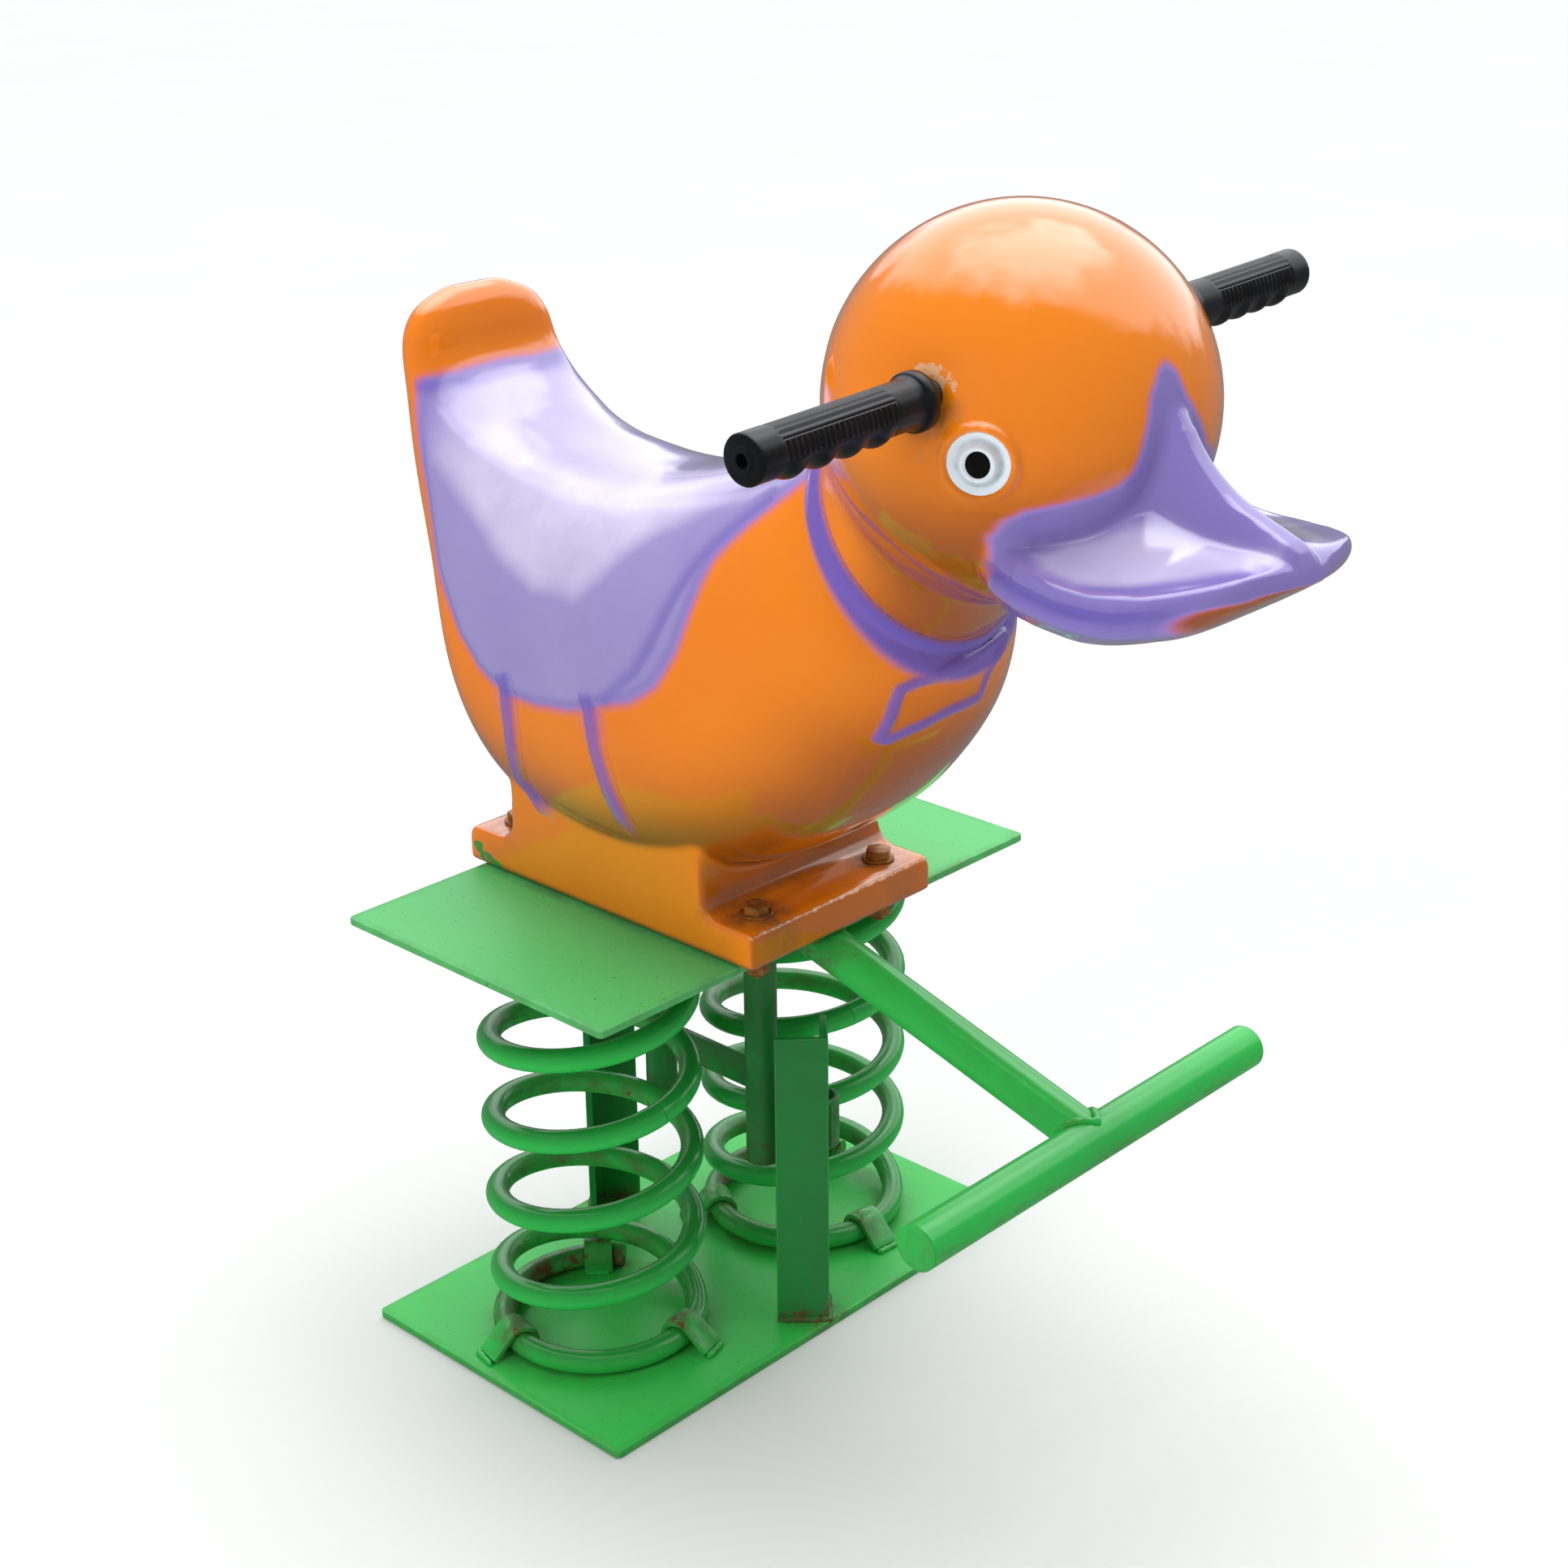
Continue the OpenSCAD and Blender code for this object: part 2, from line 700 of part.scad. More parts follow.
module right_shell() {
    color(shell_orange) half_shell(-1);
}

module left_shell() {
    color(shell_orange) half_shell(1);
}

module handlebar() {
    color(steel_green)
        difference() {
            bar_solid(bar_diameter, bar_length);
            bar_solid(bar_diameter - 2 * bar_wall, bar_length + 2 * cut);
        }
}

// Grip pushed over one end of the handlebar
module grip(side) {
    long = grip_reach(side);
    profile = [[bar_diameter / 2, 0], [grip_flange / 2, 0], [grip_flange / 2, grip_flange_width],
        [grip_diameter / 2, grip_flange_width], [grip_diameter / 2, long], [0, long],
        [0, long - grip_end], [bar_diameter / 2, long - grip_end]];
    translate(bar_centre)
        rotate([0, 90 * side - bar_tilt, 0])
            translate([0, 0, grip_start])
                rotate_extrude()
                    polygon(profile);
}

module right_grip() {
    color(grip_black) grip(-1);
}

module left_grip() {
    color(grip_black) grip(1);
}

module flange_bolts() {
    color(bolt_brown)
        for (p = bolt_places)
            translate([p[0], p[1], flange_top + washer_thickness]) {
                cylinder(d = head_flats / cos(30), h = head_thickness, $fn = 6);
                translate([0, 0, -bolt_grip - nut_thickness - bolt_tail])
                    cylinder(d = bolt_diameter, h = bolt_grip + nut_thickness + bolt_tail);
            }
}

module flange_washers() {
    color(bolt_brown)
        for (p = bolt_places, z = [flange_top, deck_under - washer_thickness])
            translate([p[0], p[1], z])
                difference() {
                    cylinder(d = washer_diameter, h = washer_thickness);
                    translate([0, 0, -cut])
                        cylinder(d = bolt_hole, h = washer_thickness + 2 * cut);
                }
}

module flange_nuts() {
    color(bolt_brown)
        for (p = bolt_places)
            translate([p[0], p[1], deck_under - washer_thickness - nut_thickness])
                difference() {
                    cylinder(d = head_flats / cos(30), h = nut_thickness, $fn = 6);
                    translate([0, 0, -cut])
                        cylinder(d = bolt_diameter, h = nut_thickness + 2 * cut);
                }
}

base_plate();
front_post();
rear_post();
post_sleeve();
right_spring();
left_spring();
right_lower_clips();
left_lower_clips();
right_upper_clips();
left_upper_clips();
top_plate();
front_hanger();
rear_hanger();
tie_bar();
footrest_stem();
footrest_crossbar();
footrest_caps();
right_shell();
left_shell();
handlebar();
right_grip();
left_grip();
flange_bolts();
flange_washers();
flange_nuts();
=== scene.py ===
"""Looks of a duck-shaped spring rider: a moulded shell on two coil springs between steel plates."""
import logging
from abc import ABC, abstractmethod
from dataclasses import dataclass
from enum import Enum
from math import asin, copysign, cos, degrees, hypot, pi, radians, remainder, sin, sqrt
from typing import Any, Callable, Iterable, Sequence

import bmesh
import bpy
import numpy as np
from bmesh.types import BMEdge, BMesh, BMVert
from bpy.types import Material, Mesh, Node, NodeSocket, NodeTree, Object
from mathutils import Matrix, Vector


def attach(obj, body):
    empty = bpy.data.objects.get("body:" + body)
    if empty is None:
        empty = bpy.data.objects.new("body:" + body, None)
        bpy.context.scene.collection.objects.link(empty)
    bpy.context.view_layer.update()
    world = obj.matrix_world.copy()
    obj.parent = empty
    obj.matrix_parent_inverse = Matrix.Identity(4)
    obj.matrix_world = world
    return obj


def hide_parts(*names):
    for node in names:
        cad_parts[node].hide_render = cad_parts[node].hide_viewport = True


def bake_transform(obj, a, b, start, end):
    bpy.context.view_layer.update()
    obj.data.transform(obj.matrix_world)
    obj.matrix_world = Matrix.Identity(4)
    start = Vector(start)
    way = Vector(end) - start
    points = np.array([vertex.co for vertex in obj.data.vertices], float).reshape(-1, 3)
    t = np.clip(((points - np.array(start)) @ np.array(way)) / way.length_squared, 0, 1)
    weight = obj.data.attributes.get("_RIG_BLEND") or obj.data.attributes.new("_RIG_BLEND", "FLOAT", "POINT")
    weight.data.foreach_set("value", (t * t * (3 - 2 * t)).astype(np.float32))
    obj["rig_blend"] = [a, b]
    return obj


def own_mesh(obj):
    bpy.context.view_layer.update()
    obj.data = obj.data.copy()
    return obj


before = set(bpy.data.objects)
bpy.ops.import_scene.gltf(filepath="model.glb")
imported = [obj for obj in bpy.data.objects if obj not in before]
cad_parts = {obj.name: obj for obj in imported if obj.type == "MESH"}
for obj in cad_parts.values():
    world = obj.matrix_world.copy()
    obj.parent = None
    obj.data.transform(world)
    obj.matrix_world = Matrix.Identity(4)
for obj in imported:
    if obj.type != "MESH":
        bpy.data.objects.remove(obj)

LOG = logging.getLogger("spring_rider")
METRE = 0.001
Point = tuple[float, float, float]


class Body(Enum):
    """Moving groups of the rider."""

    BASE = "base"
    BOUNCE = "bounce_link"
    NOD = "nod_link"
    ROCKER = "rocker"


class Slot(Enum):
    """Material slots of the part's record."""

    STEEL = "green_steel"
    SHELL = "moulded_shell"
    RUBBER = "grip_rubber"
    BOLT = "bolt_steel"


class Side(Enum):
    """Sides of the duck; its right side is towards -X."""

    RIGHT = -1
    LEFT = 1

    @property
    def label(self) -> str:
        """Name of the side in a piece's name."""
        return self.name.lower()


def linear(colour: str) -> tuple[float, float, float, float]:
    """Turns an sRGB hex colour into linear light.

    Args:
        colour: Hex colour such as "#37AB49".

    Returns:
        Linear red, green, blue and an alpha of one.
    """
    parts = [int(colour[i:i + 2], 16) / 255 for i in (1, 3, 5)]
    light = [c / 12.92 if c <= 0.04045 else ((c + 0.055) / 1.055) ** 2.4 for c in parts]
    return (light[0], light[1], light[2], 1.0)


def per(size: float) -> float:
    """Gives the texture scale whose pattern is the given millimetres across."""
    return 1000.0 / size


def add(tree: NodeTree, kind: str, inputs: dict | None = None,
        ramp: Sequence[tuple[float, str]] = (), **settings: Any) -> Node:
    """Adds a shader node with its settings, values and links.

    Args:
        tree: Node tree that takes the node.
        kind: Node type without its "ShaderNode" prefix.
        inputs: Socket name or number to a value, a hex colour, an output socket, or a node for its first
            open output.
        ramp: Stops of a colour ramp as place and hex colour.
        settings: Attributes of the node.

    Returns:
        The new node.
    """
    node = tree.nodes.new("ShaderNode" + kind)
    for name, value in settings.items():
        setattr(node, name, value)
    for key, value in (inputs or {}).items():
        if isinstance(value, Node):
            value = next(socket for socket in value.outputs if socket.enabled)
        if isinstance(value, NodeSocket):
            tree.links.new(value, node.inputs[key])
        else:
            node.inputs[key].default_value = linear(value) if isinstance(value, str) else value
    for i, (place, colour) in enumerate(ramp):
        stops = node.color_ramp.elements
        stop = stops[i] if i < 2 else stops.new(place)
        stop.position = place
        stop.color = linear(colour)
    return node


BLACK, GREY, WHITE = "#000000", "#BCBCBC", "#FFFFFF"


class Finish(ABC):
    """Finish of a piece, read from Object coordinates and the mesh's own masks."""

    name: str

    @abstractmethod
    def layers(self, tree: NodeTree, spot: NodeSocket) -> dict[str, Any]:
        """Adds the nodes of the finish.

        Args:
            tree: The material's node tree.
            spot: Object coordinates.

        Returns:
            The shader's inputs.
        """

    def material(self) -> Material:
        """Builds the material.

        Returns:
            The material, named for the real one.
        """
        material = bpy.data.materials.new(self.name)
        material.use_nodes = True
        tree = material.node_tree
        tree.nodes.clear()
        spot = add(tree, "TexCoord").outputs["Object"]
        surface = add(tree, "BsdfPrincipled", self.layers(tree, spot))
        add(tree, "OutputMaterial", {"Surface": surface})
        return material


@dataclass(frozen=True)
class EnamelledSteel(Finish):
    """Mild steel under brushed alkyd enamel: a wet green gloss with slow tone changes, grit on top, painted
    shade on faces that look down, grime and rust where the mesh says so, and paint rubbed thin along edges."""

    name: str = "green_enamel_on_steel"
    paint: str = "#34C24F"
    deep: str = "#1FAC4A"
    thin: str = "#5CBE6E"
    dust: str = "#4E4029"
    # painted shade: the colour laid on faces that look down
    dark: str = "#1B4A1C"
    rust: str = "#6B4026"
    gloss: float = 0.2
    shine: float = 0.5
    grit: float = 0.25

    def layers(self, tree: NodeTree, spot: NodeSocket) -> dict[str, Any]:
        """Lays rubbed edges, painted shade on undersides, dirt, rust and grit over two tones of paint.

        Args:
            tree: The material's node tree.
            spot: Object coordinates.

        Returns:
            The shader's inputs.
        """
        worn, painted_shade, grime = (add(tree, "Attribute", attribute_name=mask).outputs["Fac"]
                               for mask in ("worn", "painted_shade", "grime"))
        tone = add(tree, "TexNoise", {"Vector": spot, "Scale": per(120), "Detail": 3.0})
        coat = add(tree, "Mix", {0: tone, 6: self.paint, 7: self.deep}, data_type="RGBA")
        rub = add(tree, "TexNoise", {"Vector": spot, "Scale": per(14), "Detail": 4.0})
        rubbed = add(tree, "Math", {0: worn, 1: rub}, operation="MULTIPLY")
        edged = add(tree, "Mix", {0: rubbed, 6: coat, 7: self.thin}, data_type="RGBA")
        # painted shade: darkens the faces that look down, as the mesh's mask says
        painted_underside_shade = add(tree, "Mix", {0: painted_shade, 6: edged, 7: self.dark}, data_type="RGBA")
        cloud = add(tree, "TexNoise", {"Vector": spot, "Scale": per(22), "Detail": 6.0, "Roughness": 0.65})
        patch = add(tree, "ValToRGB", {"Fac": cloud}, ramp=[(0.36, BLACK), (0.62, WHITE)])
        dirty = add(tree, "Math", {0: grime, 1: patch}, operation="MULTIPLY")
        dusted = add(tree, "Mix", {0: dirty, 6: painted_underside_shade, 7: self.dust}, data_type="RGBA")
        bite = add(tree, "TexNoise", {"Vector": spot, "Scale": per(9), "Detail": 5.0, "Roughness": 0.7})
        reach = add(tree, "Math", {0: grime, 1: 0.22, 2: -0.12}, operation="MULTIPLY_ADD")
        level = add(tree, "Math", {0: bite, 1: reach}, operation="ADD")
        eaten = add(tree, "ValToRGB", {"Fac": level}, ramp=[(0.6, BLACK), (0.68, WHITE)])
        rusty = add(tree, "Mix", {0: eaten, 6: dusted, 7: self.rust}, data_type="RGBA")
        dull = add(tree, "Math", {0: dirty, 1: 0.45, 2: self.gloss}, operation="MULTIPLY_ADD")
        duller = add(tree, "Math", {0: eaten, 1: 0.3, 2: dull}, operation="MULTIPLY_ADD")
        brush = add(tree, "TexNoise", {"Vector": spot, "Scale": per(18), "Detail": 2.0})
        ridge = add(tree, "Math", {0: eaten, 1: -0.4, 2: brush}, operation="MULTIPLY_ADD")
        bump = add(tree, "Bump", {"Height": ridge, "Strength": 0.12, "Distance": 0.002})
        # windblown grit under 1 mm across, drawn at 3.5 mm so that it shows
        grit = add(tree, "TexNoise", {"Vector": spot, "Scale": per(3.5), "Detail": 2.0})
        speck = add(tree, "MapRange", {"Value": grit, 1: 0.68, 2: 0.73, 3: 0.0, 4: self.grit})
        gritty = add(tree, "Mix", {0: speck, 6: rusty, 7: self.dust}, data_type="RGBA")
        return {"Base Color": gritty, "Roughness": duller, "Normal": bump, "Specular IOR Level": self.shine}


@dataclass(frozen=True)
class AirbrushedGelcoat(Finish):
    """Polished gelcoat on glass fibre: deep orange gloss with painted shade on faces that look down and on
    the pedestal's front wall, airbrushed purple that fades through pink and is made pale on the seat and
    bill, partly rubbed paint and partly painted sheen, scuffs, a chip down to an older green coat and grime
    in the corners."""

    name: str = "airbrushed_gelcoat"
    orange: str = "#F78C0D"
    # a deeper orange for the gelcoat's slow tone changes; the mask of this name carries painted shade
    ember: str = "#EC780A"
    pink: str = "#D0708E"
    mauve: str = "#9C82C8"
    purple: str = "#8677BD"
    trim: str = "#6A5ABB"
    # pale purple of the seat and the bill's dish: partly rubbed paint, partly painted sheen
    faded: str = "#D2CBE8"
    scuffed: str = "#EBAE7C"
    chip: str = "#3E8F3A"
    grime: str = "#4C4630"
    # painted shade: laid on faces that look down and on the pedestal's front wall
    shade: str = "#87400E"

    def layers(self, tree: NodeTree, spot: NodeSocket) -> dict[str, Any]:
        """Lays painted shade, the purple, its trim, pale wear with painted sheen, other wear and dirt over
        the orange.

        Args:
            tree: The material's node tree.
            spot: Object coordinates.

        Returns:
            The shader's inputs.
        """
        ember, purple, faded, trim, scuff, chip, grime = (
            add(tree, "Attribute", attribute_name=mask).outputs["Fac"]
            for mask in ("ember", "purple", "faded", "trim", "scuff", "chip", "grime"))
        slow = add(tree, "TexNoise", {"Vector": spot, "Scale": per(160), "Detail": 2.0})
        base = add(tree, "Mix", {0: slow, 6: self.orange, 7: self.ember}, data_type="RGBA")
        # painted shade: darker orange where faces look down or stand under the belly
        with_painted_shade = add(tree, "Mix", {0: ember, 6: base, 7: self.shade}, data_type="RGBA")
        drift = add(tree, "TexNoise", {"Vector": spot, "Scale": per(40), "Detail": 4.0})
        edge = add(tree, "Math", {0: drift, 1: 0.16, 2: -0.08}, operation="MULTIPLY_ADD")
        within = add(tree, "MapRange", {"Value": purple, 1: 0.02, 2: 0.3, 3: 0.0, 4: 1.0})
        moved = add(tree, "Math", {0: edge, 1: within, 2: purple}, operation="MULTIPLY_ADD")
        spray = add(tree, "ValToRGB", {"Fac": moved},
                    ramp=[(0.3, self.pink), (1.0, self.purple), (0.55, self.mauve), (0.8, self.purple)])
        cover = add(tree, "MapRange", {"Value": moved, 1: 0.05, 2: 0.5, 3: 0.0, 4: 1.0},
                    interpolation_type="SMOOTHSTEP")
        sprayed = add(tree, "Mix", {0: cover, 6: with_painted_shade, 7: spray}, data_type="RGBA")
        # pale purple: partly rubbed paint, partly painted sheen
        rub = add(tree, "TexNoise", {"Vector": spot, "Scale": per(55), "Detail": 5.0, "Roughness": 0.6})
        pale_patches = add(tree, "Math", {0: rub, 1: 0.9, 2: -0.45}, operation="MULTIPLY_ADD")
        pale_share = add(tree, "Math", {0: pale_patches, 1: faded, 2: faded}, operation="MULTIPLY_ADD", use_clamp=True)
        rubbed = add(tree, "Mix", {0: pale_share, 6: sprayed, 7: self.faded}, data_type="RGBA")
        lined = add(tree, "Mix", {0: trim, 6: rubbed, 7: self.trim}, data_type="RGBA")
        rough = add(tree, "TexNoise", {"Vector": spot, "Scale": per(7), "Detail": 6.0, "Roughness": 0.7})
        ragged = add(tree, "Math", {0: scuff, 1: rough}, operation="ADD")
        scraped = add(tree, "ValToRGB", {"Fac": ragged}, ramp=[(0.98, BLACK), (1.06, WHITE)])
        paled = add(tree, "Mix", {0: scraped, 6: lined, 7: self.scuffed}, data_type="RGBA")
        torn = add(tree, "Math", {0: chip, 1: rough}, operation="ADD")
        peeled = add(tree, "ValToRGB", {"Fac": torn}, ramp=[(0.98, BLACK), (1.02, WHITE)])
        chipped = add(tree, "Mix", {0: peeled, 6: paled, 7: self.chip}, data_type="RGBA")
        cloud = add(tree, "TexNoise", {"Vector": spot, "Scale": per(12), "Detail": 6.0, "Roughness": 0.7})
        patch = add(tree, "ValToRGB", {"Fac": cloud}, ramp=[(0.3, BLACK), (0.7, WHITE)])
        dirty = add(tree, "Math", {0: grime, 1: patch}, operation="MULTIPLY")
        soiled = add(tree, "Mix", {0: dirty, 6: chipped, 7: self.grime}, data_type="RGBA")
        # hair scratches about 70 mm long, drawn 1.6 mm wide, coarser than life, so that they show
        streak = add(tree, "Mapping", {"Vector": spot, "Rotation": (0.5, 0.3, 0.9),
                                       "Scale": (per(1.6), per(70), per(30))})
        hair = add(tree, "TexNoise", {"Vector": streak, "Scale": 1.0, "Detail": 2.0})
        scratch = add(tree, "ValToRGB", {"Fac": hair}, ramp=[(0.66, BLACK), (0.74, WHITE)])
        dull = add(tree, "Math", {0: scratch, 1: 0.12, 2: 0.13}, operation="MULTIPLY_ADD")
        duller = add(tree, "Math", {0: dirty, 1: 0.4, 2: dull}, operation="MULTIPLY_ADD")
        ripple = add(tree, "TexNoise", {"Vector": spot, "Scale": per(45), "Detail": 1.0})
        depth = add(tree, "Math", {0: peeled, 1: -0.5, 2: ripple}, operation="MULTIPLY_ADD")
        bump = add(tree, "Bump", {"Height": depth, "Strength": 0.1, "Distance": 0.003})
        return {"Base Color": soiled, "Roughness": duller, "Normal": bump, "Specular IOR Level": 0.5,
                "Coat Weight": 0.9, "Coat Roughness": 0.04}


@dataclass(frozen=True)
class MouldedRubber(Finish):
    """Black moulded rubber: a satin skin with pale dust in clouds and fine grain."""

    name: str = "moulded_grip_rubber"
    black: str = "#0A0B0D"
    dust: str = "#24272A"

    def layers(self, tree: NodeTree, spot: NodeSocket) -> dict[str, Any]:
        """Lays dust and grain over the rubber.

        Args:
            tree: The material's node tree.
            spot: Object coordinates.

        Returns:
            The shader's inputs.
        """
        cloud = add(tree, "TexNoise", {"Vector": spot, "Scale": per(25), "Detail": 5.0})
        mask = add(tree, "ValToRGB", {"Fac": cloud}, ramp=[(0.45, BLACK), (0.85, GREY)])
        skin = add(tree, "Mix", {0: mask, 6: self.black, 7: self.dust}, data_type="RGBA")
        # moulded grain of a few tenths of a millimetre, drawn at 1.5 mm so that it shows
        grain = add(tree, "TexNoise", {"Vector": spot, "Scale": per(1.5), "Detail": 2.0})
        bump = add(tree, "Bump", {"Height": grain, "Strength": 0.08, "Distance": 0.0004})
        gloss = add(tree, "Math", {0: mask, 1: 0.3, 2: 0.3}, operation="MULTIPLY_ADD")
        return {"Base Color": skin, "Roughness": gloss, "Normal": bump, "Specular IOR Level": 0.35}


@dataclass(frozen=True)
class StainedZinc(Finish):
    """Zinc-plated bolts under orange overspray: dull brown-orange metal with dark stains."""

    name: str = "stained_zinc_plate"
    stain: str = "#B0702C"
    dark: str = "#6A4320"

    def layers(self, tree: NodeTree, spot: NodeSocket) -> dict[str, Any]:
        """Lays dark stains over the overspray.

        Args:
            tree: The material's node tree.
            spot: Object coordinates.

        Returns:
            The shader's inputs.
        """
        cloud = add(tree, "TexNoise", {"Vector": spot, "Scale": per(6), "Detail": 5.0, "Roughness": 0.65})
        mask = add(tree, "ValToRGB", {"Fac": cloud}, ramp=[(0.4, BLACK), (0.7, WHITE)])
        skin = add(tree, "Mix", {0: mask, 6: self.stain, 7: self.dark}, data_type="RGBA")
        gloss = add(tree, "Math", {0: mask, 1: 0.25, 2: 0.32}, operation="MULTIPLY_ADD")
        bump = add(tree, "Bump", {"Height": cloud, "Strength": 0.15, "Distance": 0.0006})
        return {"Base Color": skin, "Roughness": gloss, "Normal": bump, "Metallic": 0.35}


@dataclass(frozen=True)
class EyeEnamel(Finish):
    """Glossy eye paint: bluish white greyed by painted shade in the trough round the pupil's foot, or a wet
    black for the pupil.
    """

    name: str = "eye_white_enamel"
    light: str = "#E2ECF2"
    shade: str = "#9FADB6"
    shine: float = 0.5

    def layers(self, tree: NodeTree, spot: NodeSocket) -> dict[str, Any]:
        """Lays a soft grey of painted shade over the paint where the mesh says so.

        Args:
            tree: The material's node tree.
            spot: Object coordinates.

        Returns:
            The shader's inputs.
        """
        cloud = add(tree, "TexNoise", {"Vector": spot, "Scale": per(9), "Detail": 4.0})
        foot = add(tree, "Attribute", attribute_name="grime").outputs["Fac"]
        level = add(tree, "Math", {0: foot, 1: cloud}, operation="MULTIPLY")
        soft = add(tree, "MapRange", {"Value": level, 1: 0.1, 2: 0.6, 3: 0.0, 4: 1.0})
        skin = add(tree, "Mix", {0: soft, 6: self.light, 7: self.shade}, data_type="RGBA")
        gloss = add(tree, "Math", {0: cloud, 1: 0.1, 2: 0.1}, operation="MULTIPLY_ADD")
        return {"Base Color": skin, "Roughness": gloss, "Specular IOR Level": self.shine}


@dataclass(frozen=True)
class PaleFloor(Finish):
    """Plain studio floor: matt white paper with a barely seen mottle."""

    name: str = "pale_studio_paper"
    light: str = "#DADAD8"
    shade: str = "#D6D6D3"

    def layers(self, tree: NodeTree, spot: NodeSocket) -> dict[str, Any]:
        """Lays a faint mottle over the paper.

        Args:
            tree: The material's node tree.
            spot: Object coordinates.

        Returns:
            The shader's inputs.
        """
        cloud = add(tree, "TexNoise", {"Vector": spot, "Scale": per(600), "Detail": 2.0})
        skin = add(tree, "Mix", {0: cloud, 6: self.light, 7: self.shade}, data_type="RGBA")
        return {"Base Color": skin, "Roughness": 0.9, "Specular IOR Level": 0.1}


def circle(count: int) -> list[float]:
    """Lists the angles of a full turn in equal steps."""
    return [2 * pi * k / count for k in range(count)]


def only(geom: Iterable[Any], kind: type) -> list[Any]:
    """Picks the elements of one kind from an operator's result."""
    return [item for item in geom if isinstance(item, kind)]


def added(bm: BMesh, before: set[BMVert]) -> list[BMVert]:
    """Lists the vertices that weren't there before."""
    return [v for v in bm.verts if v not in before]


def sharp_edges(bm: BMesh, before: set[BMVert], angle: float = 0.9) -> list[BMEdge]:
    """Finds the sharp edges among the new ones.

    Args:
        bm: Mesh to search.
        before: Vertices that were there before.
        angle: Angle in radians above which an edge is sharp.

    Returns:
        The sharp edges.
    """
    return [e for e in bm.edges if e.verts[0] not in before and len(e.link_faces) == 2
            and e.calc_face_angle(0.0) > angle]


def rounded(bm: BMesh, edges: Sequence[BMEdge], size: float, segments: int = 2, worn: bool = False) -> None:
    """Rounds edges.

    Args:
        bm: Mesh that holds the edges.
        edges: Edges to round.
        size: Radius of the rounding.
        segments: Steps of the rounding.
        worn: Whether paint is rubbed thin there.
    """
    masks = bm.faces.layers.float
    mark = (masks.get("worn") or masks.new("worn")) if worn else None
    made = bmesh.ops.bevel(bm, geom=edges, offset=size, offset_type="OFFSET", segments=segments,
                           profile=0.5, affect="EDGES", material=-1)
    for face in made["faces"] if worn else ():
        face[mark] = 1.0


def cut_across(bm: BMesh, spot: Sequence[float], normal: Sequence[float], **options: Any) -> list[BMEdge]:
    """Cuts a mesh by a plane.

    Args:
        bm: Mesh to cut.
        spot: Place on the plane.
        normal: The plane's normal.
        options: Further settings of the cut.

    Returns:
        Edges along the cut.
    """
    geom = bm.verts[:] + bm.edges[:] + bm.faces[:]
    cut = bmesh.ops.bisect_plane(bm, geom=geom, plane_co=spot, plane_no=normal, **options)
    return only(cut["geom_cut"], BMEdge)


def ring_edges(bm: BMesh, ring: Sequence[BMVert]) -> list[BMEdge]:
    """Finds the edges of a closed ring.

    Args:
        bm: Mesh that holds the ring.
        ring: Vertices in order.

    Returns:
        The edges in order.
    """
    return [bm.edges.get((a, b)) for a, b in zip(ring, list(ring[1:]) + [ring[0]])]


def loft(bm: BMesh, rings: Sequence[Sequence[Vector]], capped: bool = True) -> None:
    """Extrudes a circle from ring to ring.

    Args:
        bm: Mesh that takes the loft.
        rings: Places of each ring's vertices, all of the same count.
        capped: Whether both ends are closed.
    """
    start = bmesh.ops.create_circle(bm, segments=len(rings[0]), radius=1.0)["verts"][0]
    ring = [start, start.link_edges[0].other_vert(start)]
    while len(ring) < len(rings[0]):
        ring.append(next(e.other_vert(ring[-1]) for e in ring[-1].link_edges
                         if e.other_vert(ring[-1]) is not ring[-2]))
    first = ring
    for vert, place in zip(ring, rings[0]):
        vert.co = place
    for places in rings[1:]:
        grown = bmesh.ops.extrude_edge_only(bm, edges=ring_edges(bm, ring))["geom"]
        fresh = set(only(grown, BMVert))
        ring = [next(e.other_vert(v) for e in v.link_edges if e.other_vert(v) in fresh) for v in ring]
        for vert, place in zip(ring, places):
            vert.co = place
    if capped:
        for end in (first, ring):
            bmesh.ops.contextual_create(bm, geom=ring_edges(bm, end))


def sweep(bm: BMesh, path: Sequence[Vector], radius: Callable[[float], float], sides: int,
          closed: bool) -> None:
    """Sweeps a round section along a path.

    Args:
        bm: Mesh that takes the sweep.
        path: Points of the axis.
        radius: Radius by the share of the path.
        sides: Corners of the section.
        closed: Whether the path returns to its start.
    """
    count = len(path)
    side = None
    rings = []
    for i, place in enumerate(path):
        ahead = path[(i + 1) % count] if closed else path[min(i + 1, count - 1)]
        behind = path[(i - 1) % count] if closed else path[max(i - 1, 0)]
        along = (ahead - behind).normalized()
        if side is None:
            side = along.orthogonal()
        side = (side - along * side.dot(along)).normalized()
        over = along.cross(side)
        size = radius(i / max(1, count - 1))
        rings.append([place + size * (cos(a) * side + sin(a) * over) for a in circle(sides)])
    loft(bm, rings + [rings[0]] if closed else rings, capped=not closed)


def spun(bm: BMesh, profile: Sequence[tuple[float, float]], place: Matrix, steps: int = 48) -> None:
    """Spins a profile of radius and height about the Z axis of a place.

    Args:
        bm: Mesh that takes the shape.
        profile: Pairs of radius and height, from one end to the other.
        place: Matrix that puts the shape where it goes.
        steps: Steps of the full turn.
    """
    before = set(bm.verts)
    line = [bm.verts.new((r, 0.0, z)) for r, z in profile]
    edges = [bm.edges.new(pair) for pair in zip(line, line[1:])]
    bmesh.ops.spin(bm, geom=line + edges, cent=(0, 0, 0), axis=(0, 0, 1), angle=2 * pi, steps=steps,
                   use_merge=True)
    bmesh.ops.remove_doubles(bm, verts=added(bm, before), dist=0.001)
    bmesh.ops.transform(bm, matrix=place, verts=added(bm, before))


